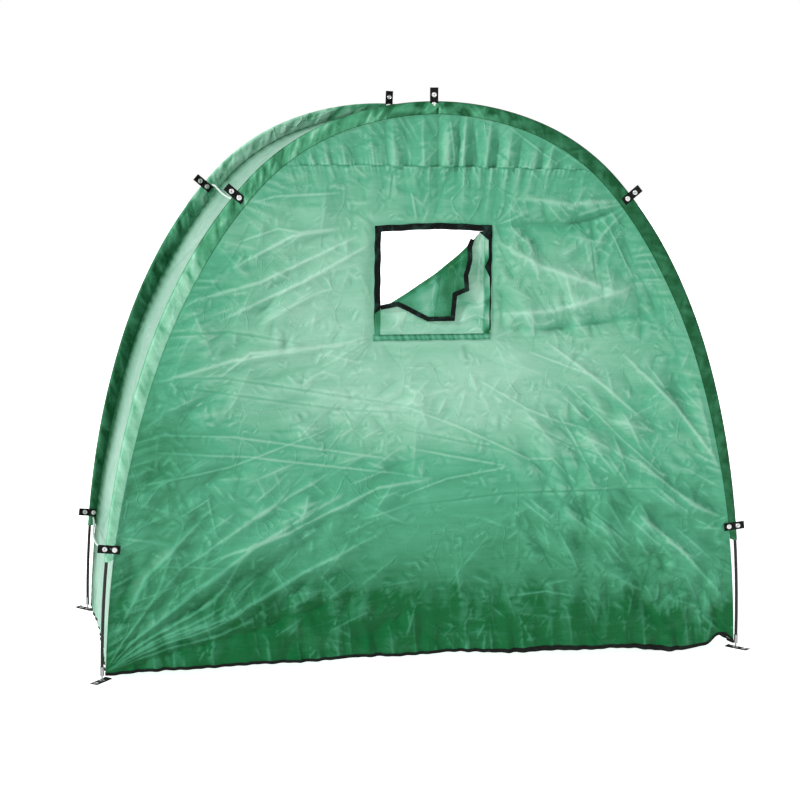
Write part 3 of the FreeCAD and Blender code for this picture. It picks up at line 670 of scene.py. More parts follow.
def thicken(piece, thickness):
    solid = piece.modifiers.new("thickness", "SOLIDIFY")
    solid.thickness = thickness
    solid.offset = 0.0


def sheet(piece, body="shelter", nodes=()):
    if body:
        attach(piece, body)
    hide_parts(*nodes)
    return piece


# ---------------------------------------------------------------- near wall
WINDOW = (-0.165, 0.144, 0.986, 1.279)


# Painted light and shade on the wall, as paler and deeper places: amount, middle and width across, middle and width
# upwards.
WALL_PAINTED_SHADING = (
    (0.20, 0.06, 0.42, 0.83, 0.17), (0.16, -0.30, 0.22, 1.15, 0.25), (-0.20, -0.84, 0.16, 0.72, 0.28),
    (-0.06, 0.45, 0.22, 1.40, 0.20), (0.16, -0.80, 0.14, 0.10, 0.10), (0.22, 0.83, 0.11, 0.18, 0.12),
    (0.12, 0.70, 0.16, 0.36, 0.10), (0.12, -0.88, 0.06, 0.40, 0.06), (-0.13, -0.78, 0.24, 0.95, 0.40),
    (-0.10, 0.72, 0.22, 0.85, 0.32),
)


def wall_tone(x, z):
    """Lightness of the cloth, mostly painted light and shade: pale across the middle, softer towards the top, deep
    along the hem.
    """
    tone = np.interp(z, (0.03, 0.12, 0.25, 0.42, 0.60, 0.80, 0.95, 1.20, 1.45, 1.62),
                     (0.00, 0.03, 0.18, 0.38, 0.52, 0.66, 0.66, 0.58, 0.54, 0.46))
    for amount, x_at, x_wide, z_at, z_wide in WALL_PAINTED_SHADING:
        tone = tone + amount * bell(x, x_at, x_wide) * bell(z, z_at, z_wide)
    tone = tone + 0.03 * waves(x, z, 8, 0.10, 0.4, 51)
    # Painted shadow patches along the hem, fading out by 0.3 m up.
    patches = np.clip(waves(x, 0.6 * z, 10, 0.05, 0.16, 52), 0.0, 1.0) * np.clip((0.30 - z) / 0.26, 0.0, 1.0)
    stitches = bell(z, panel_seam(x) + 0.0015 * np.sin(x * 700.0), 0.0028)
    tone = tone - 0.26 * patches - 0.17 * stitches
    # Painted light and shade of the relief: raised folds paler and hollows darker, broad folds paler or darker by
    # their sign, crease lines paler, partly also as wear.
    return tone + 0.26 * wall_creases(x, z) + 3.6 * wall_folds(x, z) + 0.07 * wall_bands(x, z)


def wall_grid(z_low, z_high, rows, cols):
    """x and z of a grid between two level curves, out to the arch seam on both sides."""
    u = np.linspace(-1.0, 1.0, cols)[None, :]
    v = np.linspace(0.0, 1.0, rows)[:, None]
    x = u * np.ones_like(v) * 0.9
    for _ in range(12):
        low, high = z_low(x), z_high(x)
        z = low + (high - low) * v
        x = u * half_width(z)
    return x, z


def near_panel(name, x, z, cuts=(), gone=None):
    flat_grid = np.stack([x, np.zeros_like(x), z], axis=-1)
    piece = add_mesh(f"{name}_cloth", flat_grid, grid_faces(*x.shape), wall_green)
    if gone:
        cut_out(piece, cuts, gone)
    points = corners_of(piece)
    points[:, 2] += window_lift(points[:, 0], points[:, 2])
    set_tone(piece, wall_tone(points[:, 0], points[:, 2]))
    points[:, 1] = NEAR - wall_folds(points[:, 0], points[:, 2])
    place_corners(piece, points)
    return sheet(piece, nodes=(name,))


grid_x, grid_z = wall_grid(hem_height, panel_seam, 500, 640)
near_panel("window_wall", grid_x, grid_z,
           [("x", WINDOW[0]), ("x", WINDOW[1]), ("z", WINDOW[2]), ("z", WINDOW[3])],
           lambda x, z: WINDOW[0] < x < WINDOW[1] and WINDOW[2] < z < WINDOW[3])

seam_half = float(half_width(1.463))
cap_u = np.linspace(-1.0, 1.0, 400)[None, :] * np.ones((64, 1))
cap_x = cap_u * seam_half
cap_top = np.interp(np.abs(cap_x), SEAM_X, SEAM_Z)
cap_z = panel_seam(cap_x) + (np.maximum(cap_top, panel_seam(cap_x) + 1e-4) - panel_seam(cap_x)) * np.linspace(
    0.0, 1.0, 64)[:, None]
near_panel("window_wall_cap", cap_x, cap_z)


# ---------------------------------------------------------------- pole sleeves
def sleeve(name, plane, left_end, right_end, seed, tone_of):
    """Cloth sleeve folded round the pole, with both layers meeting at the seam."""
    paths = np.linspace(-left_end, right_end, 1200)[:, None] * np.ones((1, 35))
    seam = seam_inset(paths)
    flat = np.linspace(1.0, 0.0, 12)[None, :]
    turn = np.linspace(-0.5, 0.5, 13)[None, 1:-1] * np.pi
    radius = 0.0066
    front = 0.0068 + (seam[:, :12] - 0.0068) * flat
    back = 0.0068 + (seam[:, :12] - 0.0068) * flat[:, ::-1]
    inset = np.concatenate([front, 0.0068 - radius * np.cos(turn) * np.ones((1200, 1)), back], axis=1)
    behind = 0.0006 + 0.0130 * (1.0 - flat[:, ::-1])
    y = np.concatenate([np.zeros((1, 12)), 0.007 + radius * np.sin(turn), behind], axis=1)
    facing = np.concatenate([np.ones(12), np.linspace(1, -1, 11), -np.ones(12)])[None, :]
    belly = np.sin(np.clip(inset / seam, 0.0, 1.0) * np.pi)
    spot = inset * 0.9
    lean = np.sign(paths + 1e-6)
    pucker = crumple(paths, spot * lean, (-2.1, -0.045), (2.1, 0.045), 420, 0.040, 0.0060, seed, 32.0)
    pucker += crumple(paths, spot * lean, (-2.1, -0.045), (2.1, 0.045), 500, 0.018, 0.0026, seed + 1, 40.0)
    pucker += 0.0010 * gathers(paths + 1.1 * spot, 0.030, seed + 2) * belly
    drawn = 0.32 + 0.3 * bell(paths, -1.3, 0.7) + 0.9 * bell(paths, -0.60, 0.28) + bell(paths, -0.05, 0.32)
    pucker = np.clip(pucker * drawn, -0.0024, 0.0034)
    y = y - facing * (0.0014 * belly + pucker * np.clip(belly + 0.15, 0.0, 1.0) * 0.8)
    end = np.where(paths < 0, left_end, right_end)
    slant = -lean * np.clip((np.abs(paths) - end + 0.03) / 0.03, 0, 1) * np.clip(inset - 0.01, 0, None) * 0.5
    x, z, _ = arch(paths + slant, inset)
    # Painted light and shade: puckers that stand out are paler and sunk ones darker, with sharp outward bends paler.
    tone = tone_of(paths, inset / seam) + 0.22 * np.clip(bend_of(pucker) / 0.0010, -1.0, 1.0) + 65.0 * pucker
    points = np.stack([x, plane + y, z], axis=-1)
    piece = add_mesh(f"{name}_cloth", points, grid_faces(*inset.shape), sleeve_green, tone)
    return sheet(piece, nodes=(name,))


def near_tone(path, across):
    """Painted light on the left half, painted shade on the right half, and a thin line of painted shade along the
    fold and the seam.
    """
    lit = np.interp(path, (-1.9, -0.95, -0.80, -0.70, -0.40, -0.22, -0.10, 0.08, 0.3, 0.6, 1.9),
                    (0.74, 0.76, 0.40, 0.34, 0.44, 0.34, 0.10, 0.24, 0.10, 0.05, 0.07))
    return lit - 0.45 * np.clip((across - 0.93) / 0.07, 0, 1) - 0.35 * np.clip((0.08 - across) / 0.08, 0, 1)


def far_tone(path, across):
    """Painted shade all round, a little paler as painted light where the shoulder catches the sky, and a touch more
    painted shade along the seam.
    """
    return 0.08 + 0.86 * bell(path, -0.43, 0.36) - 0.08 * np.clip((across - 0.9) / 0.1, 0, 1)


sleeve("near_pole_sleeve", NEAR, path_at_height(0.350), path_at_height(0.341), 61, near_tone)
sleeve("far_pole_sleeve", FAR, path_at_height(0.282), path_at_height(0.270), 64, far_tone)


# ---------------------------------------------------------------- roof band
def band_sag(path, y):
    """How far the band stands inside its seams: tension between the arches and soft bunching."""
    across = 1.0 - (y / 0.4) ** 2
    sag = across * (0.010 + 0.005 * waves(path, y, 8, 0.30, 0.9, 71))
    for k, (start, end) in enumerate((((-1.95, 0.36), (-1.40, -0.30)), ((-1.75, -0.36), (-1.10, 0.30)),
                                      ((-1.00, 0.34), (-0.55, -0.34)), ((-0.60, 0.30), (0.05, -0.36)),
                                      ((1.95, 0.36), (1.35, -0.30)), ((1.05, -0.34), (0.62, 0.34)),
                                      ((0.10, 0.35), (0.70, -0.34)), ((1.30, 0.34), (1.85, -0.20)))):
        sag -= ridge(path, y, (start, end), 0.006 * (1 if k % 2 else -1), 0.020)
    sag -= crumple(path, y, (-2.05, -0.38), (2.05, 0.38), 150, 0.09, 0.007, 73)
    sag -= crumple(path, y, (-2.05, -0.38), (2.05, 0.38), 260, 0.040, 0.004, 74)
    for edge, seed in ((-0.4, 75), (0.4, 76)):
        sag -= gathers(path, 0.017, seed) * 0.0025 * np.exp(-np.abs(y - edge) / 0.05)
    sag -= gathers(y, 0.03, 77) * 0.005 * np.exp(-np.abs(np.abs(path) - 2.1) / 0.08)
    return sag * np.clip(across * 8.0, 0.0, 1.0)


band_end = path_at_height(0.024)
band_paths = np.linspace(-band_end, band_end, 640)[:, None] * np.ones((1, 100))
band_y = np.linspace(-0.3996, 0.3996, 100)[None, :] * np.ones((640, 1))
sag = band_sag(band_paths, band_y)
band_x, band_z, _ = arch(band_paths, seam_inset(band_paths) + sag)
# Painted shadow of the far sleeve on the band, and painted light and shade of its folds, paler on outward bends.
band_painted_shadow = 0.66 * bell(band_y, 0.42, 0.09 + 0.07 * bell(band_paths, -1.75, 0.6))
band_tone = 0.60 + 0.03 * waves(band_paths, band_y, 6, 0.15, 0.5, 78) - band_painted_shadow + 40.0 * bend_of(-sag)
roof = add_mesh("roof_band_cloth", np.stack([band_x, band_y, band_z], axis=-1), grid_faces(640, 100), band_green,
                band_tone)
sheet(roof, nodes=("roof_band",))


# ---------------------------------------------------------------- door side
DOOR_HALF = 0.52
DOOR_TOP = 1.30


def far_folds(x, z):
    """How far the door side's cloth stands out of its plane."""
    path, inset = seam_distance(x, z)
    sewn = np.clip((inset - seam_inset(path)) / 0.05, 0.0, 1.0)
    d = 0.007 * waves(x, z, 10, 0.25, 1.0, 81)
    for side in (-1, 1):
        turn = (lambda a: a) if side < 0 else (lambda a: 180.0 - a)
        d += fan(x, z, (side * 0.955, 0.03), *sorted((turn(40), turn(88))), 7, 0.012, 1.0, 83 + side)
        d += fan(x, z, (side * 0.52, 1.28), *sorted((turn(100), turn(250))), 9, 0.010, 0.7, 86 + side)
        d += fan(x, z, (side * 0.52, 1.32), *sorted((turn(-20), turn(70))), 7, 0.008, 0.5, 89 + side)
        d += gathers(z, 0.024, 92 + side) * 0.003 * np.exp(-np.abs(np.abs(x) - DOOR_HALF) / 0.05)
    d += crumple(x, z, (-0.95, 0.05), (0.95, 1.60), 200, 0.08, 0.010, 94)
    d += crumple(x, z, (-0.95, 0.05), (0.95, 1.60), 400, 0.040, 0.005, 95)
    d += gathers(path + 0.55 * np.sign(path) * inset, 0.014, 96) * 0.003 * np.exp(-((inset - 0.04) / 0.045) ** 2)
    d += gathers(x, 0.022, 97) * 0.004 * np.exp(-np.clip(z - 0.03, 0, None) / 0.08)
    d *= 0.18 + 0.82 * sewn
    frame_near = np.maximum(np.abs(x) - DOOR_HALF - 0.016, z - DOOR_TOP - 0.03)
    held = np.exp(-(np.clip(frame_near, 0, None) / 0.03) ** 2)
    return np.clip(d * (1.0 - 0.9 * held), -0.02, 0.02) + 0.0004


def far_panel(name, x, z):
    """Panel of the door side from a flat grid."""
    d = far_folds(x, z)
    # Painted light and shade: paler where the cloth stands out and at outward bends, darker where it sinks and
    # towards the bottom.
    tone = 0.46 + 0.04 * waves(x, z, 8, 0.12, 0.5, 98) + 8.0 * d - 0.2 * np.clip((0.35 - z) / 0.3, 0, 1)
    tone = tone + 70.0 * bend_of(d)
    points = np.stack([x, FAR + d, z], axis=-1)
    piece = add_mesh(f"{name}_cloth", points, grid_faces(*x.shape)[:, ::-1], door_green, tone)
    return sheet(piece, nodes=(name,))


header_half = float(half_width(DOOR_TOP))
head_x = np.linspace(-header_half, header_half, 280)[None, :] * np.ones((72, 1))
head_top = np.maximum(np.interp(np.abs(head_x), SEAM_X, SEAM_Z), DOOR_TOP + 1e-4)
head_z = DOOR_TOP + (head_top - DOOR_TOP) * np.linspace(0.0, 1.0, 72)[:, None]
far_panel("door_header", head_x, head_z)
for side, side_name in ((-1, "left"), (1, "right")):
    rise = np.linspace(0.0, 1.0, 240)[:, None]
    side_z = 0.026 + (DOOR_TOP - 0.026) * rise * np.ones((1, 72))
    lean = np.linspace(0.0, 1.0, 72)[None, :]
    side_x = side * (DOOR_HALF + (np.maximum(half_width(side_z), DOOR_HALF + 0.002) - DOOR_HALF) * lean)
    side_z = side_z + 0.006 * (1 - rise) * (1 - lean)
    if side < 0:
        side_x, side_z = side_x[:, ::-1], side_z[:, ::-1]
    far_panel(f"door_side_{side_name}", side_x, side_z)

ROLL_RADIUS = 0.036
ROLL_Y = FAR - 0.0005 - 0.002 - ROLL_RADIUS
ROLL_Z = DOOR_TOP - 0.008
STRAPS = (-0.28, 0.28)


def door_roll():
    """The rolled-up door: one spiral sheet, squeezed where its two straps hold it."""
    turns = 10.5
    angle = np.linspace(0.0, turns * 2 * math.pi, 440)[:, None]
    across = np.linspace(-0.499, 0.499, 120)[None, :]
    rng = np.random.default_rng(101)
    layer = ROLL_RADIUS - 0.0012 - 0.0030 * angle / (2 * math.pi)
    squeeze = sum(bell(across, s, 0.028) for s in STRAPS)
    wobble = 0.0016 * waves(across + 0 * angle, angle * 0.05 + 0 * across, 10, 0.05, 0.3, 102)
    dents = 0.0022 * gathers(across + 0.02 * np.sin(angle), 0.02, 103) * squeeze
    r = np.clip(layer + (wobble - 0.0012 - 0.0036 * squeeze + dents) * np.clip(layer / ROLL_RADIUS, 0.2, 1), 0.0012,
                ROLL_RADIUS - 0.0003)
    x = across + 0.0030 * np.sin(angle * 0.37 + rng.uniform(0, 6)) * np.sign(across) * (np.abs(across) > 0.42) \
        * np.clip((np.abs(across) - 0.42) / 0.08, 0, 1) * np.clip(layer / ROLL_RADIUS, 0.3, 1)
    start = math.radians(90)
    points = np.stack([x + 0 * r, ROLL_Y + r * np.sin(start - angle), ROLL_Z + r * np.cos(start - angle)], axis=-1)
    tail_z = np.linspace(DOOR_TOP + 0.022, ROLL_Z + 0.003, 14)[:, None] + 0 * across
    tail_y = np.full_like(tail_z, FAR - 0.0019) - 0.0006 * np.sin(across * 90)
    tail = np.stack([across + 0 * tail_z, tail_y, tail_z], axis=-1)
    points = np.concatenate([tail, points], axis=0)
    # Painted light and shade: the roll is paler where its layers bulge and darker in the dents under the straps.
    tone = 0.46 + 30.0 * np.concatenate([np.zeros_like(tail_z), wobble + dents], axis=0)
    piece = add_mesh("door_roll_cloth", points, grid_faces(*points.shape[:2]), door_green, tone)
    return sheet(piece, nodes=("door_roll",))


door_roll()


# ---------------------------------------------------------------- straps, tapes and bindings
def ribbon(name, line, wide, thick, material):
    """Flat band along a line; wide and thick are half-vectors at each point, and its edges are rounded."""
    shape = np.asarray(line).shape
    line, wide, thick = (np.broadcast_to(np.asarray(v, float), shape) for v in (line, wide, thick))
    half = [(-1.0, -0.6), (-0.94, -1.0), (-0.5, -1.0), (0.0, -1.0), (0.5, -1.0), (0.94, -1.0), (1.0, -0.6)]
    section = half + [(-a, -b) for a, b in half]
    rings = np.stack([line + a * wide + b * thick for a, b in section], axis=1)
    count = len(section)
    faces = [tuple(f) for f in grid_faces(len(line), count, True)]
    faces += [tuple(range(count))[::-1], tuple(range((len(line) - 1) * count, len(line) * count))]
    mesh = bpy.data.meshes.new(name)
    mesh.from_pydata(rings.reshape(-1, 3).tolist(), [], faces)
    mesh.materials.append(material)
    mesh.shade_smooth()
    mesh.set_sharp_from_angle(angle=math.radians(50))
    return add_object(name, mesh)


def strip(node, line, wide, thick, material, slot):
    """Ribbon on the shelter that stands for one node."""
    keep_on(ribbon(f"{node}_strip", line, wide, thick, material), "shelter", slot, node)


def keep_on(piece, body, slot, *nodes):
    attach(piece, body)
    if nodes:
        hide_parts(*nodes)
    return piece


hem_x = np.linspace(-0.9545, 0.9545, 420)
hem_z = hem_height(hem_x)
hem_y = NEAR - wall_folds(hem_x, hem_z)
hem_half = 0.0045 + 0.0035 * bell(hem_x, 0.36, 0.16) + 0.0040 * bell(hem_x, 0.70, 0.10)
hem_line = np.stack([hem_x, hem_y, hem_z + 0.0010 - hem_half + 0.0008 * np.sin(hem_x * 150.0)], axis=-1)
hem_half = hem_half[:, None] * np.array((0.0, 0.0, 1.0))
strip("near_hem_binding", hem_line, hem_half, (0, 0.0015, 0), black_binding, "binding")
for side, side_name in ((-1, "left"), (1, "right")):
    run = np.linspace(DOOR_HALF, 0.9545, 110)
    line = np.stack([side * run, np.full_like(run, FAR), 0.0335 - 0.008 * (run / 0.955) ** 2 - 0.0035], axis=-1)
    line[:, 2] += 0.0006 * np.sin(run * 140.0)
    strip(f"far_hem_binding_{side_name}", line, (0, 0, 0.0045), (0, 0.0015, 0), black_binding, "binding")
    across = np.linspace(-0.398, 0.398, 160)
    edge = band_sag(np.full_like(across, band_end), across)
    bx, bz, _ = arch(np.full_like(across, side * band_end), seam_inset(band_end) + edge)
    line = np.stack([bx, across, bz - 0.0035 + 0.0006 * np.sin(across * 120.0)], axis=-1)
    strip(f"{side_name}_hem_binding", line, (0, 0, 0.0045), (0.0015, 0, 0), black_binding, "binding")


def wall_tape(name, x_low, x_high, z_low, z_high, material, lift, slot, tone=None):
    """Tape sewn flat on the near wall, following its folds."""
    cols = max(6, int((x_high - x_low) / 0.003))
    rows = max(6, int((z_high - z_low) / 0.003))
    x, z = np.meshgrid(np.linspace(x_low, x_high, cols), np.linspace(z_low, z_high, rows))
    x = x + 0.0008 * np.sin(z * 95.0)
    z = z + 0.0007 * np.sin(x * 85.0 + 1.0)
    z = z + window_lift(x, z)
    y = NEAR - wall_folds(x, z) - lift
    piece = add_mesh(f"{name}_strip", np.stack([x, y, z], axis=-1), grid_faces(rows, cols), material,
                     None if tone is None else tone(x, z))
    thicken(piece, 0.0009)
    return keep_on(piece, "shelter", slot, name)


wall_tape("hook_tape_top", -0.183, 0.162, 1.279, 1.297, hook_tape, 0.0016, "grip_tape")
wall_tape("hook_tape_left", -0.183, -0.165, 1.014, 1.279, hook_tape, 0.0015, "grip_tape")
wall_tape("hook_tape_right", 0.144, 0.1625, 0.994, 1.279, hook_tape, 0.0015, "grip_tape")
# Painted light and shade on the sill band: paler on its gathers' tops and as a painted highlight along its middle,
# darker between gathers.
wall_tape("window_sill_band", -0.185, 0.163, 0.968, 0.987, wall_green, 0.0018, "wall_cloth",
          lambda x, z: 0.30 + 0.22 * gathers(x + 0.4 * (z - 0.97), 0.009, 105) + 0.2 * bell(z, 0.9775, 0.004))


# ---------------------------------------------------------------- window flap and its folded corner
def cut_sheet(name, outline, step, material, holes=(), plane="xz"):
    """Flat sheet with an exact outline and round holes, sliced into a fine grid."""
    work = bmesh.new()
    turn = np.linspace(0, 2 * math.pi, 25)[:-1]
    loops = [outline] + [[(cx + r * math.cos(t), cz + r * math.sin(t)) for t in turn] for cx, cz, r in holes]
    edges = []
    for loop in loops:
        verts = [work.verts.new((a, 0.0, b) if plane == "xz" else (a, b, 0.0)) for a, b in loop]
        edges += [work.edges.new((verts[k - 1], verts[k])) for k in range(len(verts))]
    bmesh.ops.triangle_fill(work, edges=edges, use_beauty=False)
    bmesh.ops.dissolve_limit(work, angle_limit=0.01, verts=work.verts, edges=work.edges)
    low, high = np.min(outline, axis=0), np.max(outline, axis=0)
    for axis, normal in ((0, (1, 0, 0)), (1, (0, 0, 1) if plane == "xz" else (0, 1, 0))):
        for value in np.arange(low[axis] + step / 2, high[axis], step):
            spot = [0.0, 0.0, 0.0]
            spot[0 if axis == 0 else (2 if plane == "xz" else 1)] = float(value)
            bmesh.ops.bisect_plane(work, geom=work.verts[:] + work.edges[:] + work.faces[:], dist=1e-7,
                                   plane_co=spot, plane_no=normal)
    mesh = bpy.data.meshes.new(name)
    work.to_mesh(mesh)
    work.free()
    mesh.materials.append(material)
    mesh.shade_smooth()
    return add_object(name, mesh)


# The crease and the corner's free edge; most of these points were traced with the same helper program.
CREASE = [(-0.183, 1.047), (-0.165, 1.060), (-0.090, 1.106), (-0.008, 1.160), (0.060, 1.214), (0.102, 1.254),
          (0.124, 1.279)]
CORNER_EDGE = [(-0.1655, 1.0585), (-0.150, 1.0615), (-0.117, 1.068), (-0.085, 1.053), (-0.054, 1.0365),
               (-0.028, 1.0235), (0.053, 1.0245), (0.057, 1.097), (0.093, 1.112), (0.0875, 1.156),
               (0.0995, 1.199), (0.100, 1.236), (0.108, 1.257)]
FLAP_Y = NEAR - 0.0042
CREASE_RADIUS = 0.0022


# Pleats of the corner and folds of the flap, as (ends, height, width, softness).
CORNER_PLEATS = (
    (((-0.029, 1.005), (-0.004, 1.175)), 0.011, 0.016, 0.02),
    (((-0.012, 1.005), (0.010, 1.175)), -0.006, 0.010, 0.05),
    (((0.093, 1.085), (0.030, 1.205)), 0.008, 0.014, 0.03),
    (((-0.15, 1.06), (0.02, 1.050)), 0.005, 0.008, 0.03),
    (((0.030, 1.03), (0.080, 1.25)), 0.005, 0.010, 0.05),
)
FLAP_FOLDS = (
    (((0.125, 1.275), (0.070, 1.13)), 0.0035, 0.008, 0.05),
    (((0.128, 1.275), (0.120, 1.10)), 0.0030, 0.006, 0.05),
    (((0.065, 1.02), (0.150, 1.07)), 0.0035, 0.007, 0.05),
    (((-0.13, 1.0), (-0.09, 1.05)), 0.0025, 0.006, 0.05),
)
HINGE_Z = 0.9865


def crease_distance(x, z):
    """Distance from the crease's curve."""
    best = np.full_like(x, 9.0)
    for (ax, az), (bx, bz) in zip(CREASE, CREASE[1:]):
        t = np.clip(((x - ax) * (bx - ax) + (z - az) * (bz - az)) / ((bx - ax) ** 2 + (bz - az) ** 2), 0, 1)
        best = np.minimum(best, np.hypot(x - ax - t * (bx - ax), z - az - t * (bz - az)))
    return best


def rolled(distance):
    """Quarter-round rise towards the crease, 0 away from it and the radius at it."""
    into = np.clip(1.0 - distance / CREASE_RADIUS, 0.0, 1.0)
    return CREASE_RADIUS * (1.0 - np.sqrt(np.clip(1.0 - into ** 2, 0.0, 1.0)))


def corner_lift(x, z):
    """How far the turned-down corner lies in front of the flap, low at its tip for when the flap is open."""
    free = 2 * CREASE_RADIUS - rolled(crease_distance(x, z)) + corner_puff(x, z)
    return np.minimum(free, 0.0005 + 0.104 * (z - 0.987))


def corner_puff(x, z):
    """How far the hanging corner's pleats stand up."""
    q = crease_distance(x, z)
    puff = 0.020 * np.sin(np.clip(q / 0.16, 0.0, 1.0) * np.pi * 0.62) + 0.004 * np.clip(q / 0.03, 0, 1)
    for row in CORNER_PLEATS:
        puff += ridge(x, z, *row)
    puff += crumple(x, z, (-0.15, 1.02), (0.11, 1.26), 40, 0.035, 0.007, 112)
    return np.clip(puff, 0.0, 0.024) * np.clip(q / 0.012, 0.0, 1.0)


flap_outline = [(-0.182, HINGE_Z), (0.159, HINGE_Z), (0.157, 1.05), (0.158, 1.110), (0.156, 1.150), (0.141, 1.180),
                (0.152, 1.205), (0.151, 1.256)] + CREASE[::-1]
flap = cut_sheet("flap_part", flap_outline, 0.003, wall_green)


def flap_shape(x, z):
    """How far the flap stands off its flat position, kept low near its hinge and its right edge."""
    d = 0.0012 * waves(x, z, 8, 0.05, 0.2, 113)
    d += crumple(x, z, (-0.16, 0.99), (0.15, 1.26), 90, 0.045, 0.0060, 114)
    for row in FLAP_FOLDS:
        d += ridge(x, z, *row)
    d = np.clip(d, np.where(x > 0.125, -0.0002, -0.0016), np.minimum(0.0019, 0.06 * (z - HINGE_Z)))
    return d * np.clip((z - HINGE_Z) / 0.012, 0, 1) * np.clip(crease_distance(x, z) / 0.02, 0, 1)


def bend_near(shape, x, z, reach=0.003):
    """How sharply a shape is folded outwards at scattered points."""
    ring = shape(x + reach, z) + shape(x - reach, z) + shape(x, z + reach) + shape(x, z - reach)
    return (4.0 * shape(x, z) - ring) / reach ** 2


points = corners_of(flap)
fx, fz = points[:, 0], points[:, 2]
flap_d = flap_shape(fx, fz)
hemmed = 0.0005 * ((fx > 0.140) | (fx < -0.165))
points[:, 1] = FLAP_Y - flap_d - hemmed - rolled(crease_distance(fx, fz))
flap_bend = np.clip(bend_near(flap_shape, fx, fz) / 160.0, -1.0, 1.0)
place_corners(flap, points)
edge_tone = (0.34 + 0.30 * waves(fx, fz, 6, 0.03, 0.10, 117)) * (fx > 0.1400) + 0.52 * (fx < -0.165)
# Painted light and shade on the flap: paler where it stands out and at outward bends, darker where it sinks.
set_tone(flap, 0.78 + 24.0 * flap_d - edge_tone + 0.10 * waves(fx, fz, 6, 0.04, 0.16, 115) + 0.22 * flap_bend
         - 0.25 * bell(fx, 0.1395, 0.0012))

corner = cut_sheet("corner_part", CREASE[1:] + CORNER_EDGE[::-1], 0.003, wall_green)
points = corners_of(corner)
cx, cz = points[:, 0], points[:, 2]
puff = corner_puff(cx, cz)
corner_bend = np.clip(bend_near(corner_puff, cx, cz) / 300.0, -1.0, 1.0)
points[:, 1] = FLAP_Y - corner_lift(cx, cz)
place_corners(corner, points)
# Painted light: a painted highlight on the corner's left, and pleats paler where they stand out and darker where
# they sink.
left_lit = 0.42 * bell(cx, -0.055, 0.045) * bell(cz, 1.085, 0.05)
set_tone(corner, 0.16 + left_lit + 9.0 * (puff - 0.012) + 0.12 * waves(cx, cz, 6, 0.03, 0.12, 116)
         + 0.16 * corner_bend)

work = bmesh.new()
work.from_mesh(flap.data)
work.from_mesh(corner.data)
flap_mesh = bpy.data.meshes.new("window_flap")
work.to_mesh(flap_mesh)
work.free()
flap_mesh.materials.append(wall_green)
window_flap = add_object("window_flap_cloth", flap_mesh)
for part in (flap, corner):
    bpy.data.objects.remove(part)
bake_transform(window_flap)
sheet(window_flap, None,
      ("window_flap", "window_flap_corner"))


def inset_edge(points, distance):
    """Run of edges moved sideways, with mitred corners."""
    points = np.asarray(points)
    run = np.diff(points, axis=0)
    normal = np.stack([-run[:, 1], run[:, 0]], axis=1) / np.hypot(*run.T)[:, None]
    normal = np.concatenate([normal[:1], normal, normal[-1:]])
    mitre = normal[:-1] + normal[1:]
    mitre /= np.hypot(*mitre.T)[:, None]
    return [tuple(p) for p in points + mitre * (distance / (mitre * normal[1:]).sum(1))[:, None]]


corner_tape = cut_sheet("window_flap_corner_tape_strip",
                        CORNER_EDGE + inset_edge(CORNER_EDGE, 0.0135)[::-1], 0.003, hook_tape)
points = corners_of(corner_tape)
tx, tz = points[:, 0], points[:, 2]
points[:, 1] = FLAP_Y - corner_lift(tx, tz) - 0.0010
place_corners(corner_tape, points)
thicken(corner_tape, 0.0008)
keep_on(corner_tape, "window_flap_corner", "grip_tape", "window_flap_corner_tape")

side_tape = cut_sheet("window_flap_side_tape_strip",
                      [(0.1395, 0.993), (0.1580, 0.993), (0.1585, 1.150), (0.1570, 1.255), (0.1555, 1.284),
                       (0.1215, 1.2805), (0.1395, 1.262)], 0.004, hook_tape)
points = corners_of(side_tape)
points[:, 1] = FLAP_Y + 0.0008
place_corners(side_tape, points)
thicken(side_tape, 0.0006)
keep_on(side_tape, "window_flap", "grip_tape", "window_flap_side_tape")


# ---------------------------------------------------------------- webbing tabs and press studs
def on_arch(path, inset, y):
    x, z, angle = arch(path)
    return Vector((float(x) - inset * math.sin(angle), y, float(z) - inset * math.cos(angle)))


def lathe(name, profile, centre, material, steps=28):
    """Turned part with its axis along -Y from a centre; profile is (radius, height) pairs."""
    turn = np.linspace(0, 2 * math.pi, steps + 1)[:-1]
    rings = [[(centre[0] + r * math.cos(t), centre[1] - h, centre[2] + r * math.sin(t)) for t in turn]
             for r, h in profile]
    made = add_mesh(name, rings, grid_faces(len(profile), steps, True), material)
    made.data.set_sharp_from_angle(angle=math.radians(60))
    return made


def join(name, pieces):
    work = bmesh.new()
    for piece in pieces:
        work.from_mesh(piece.data)
    mesh = bpy.data.meshes.new(name)
    work.to_mesh(mesh)
    work.free()
    mesh.materials.append(pieces[0].data.materials[0])
    for piece in pieces:
        bpy.data.objects.remove(piece)
    return add_object(name, mesh)


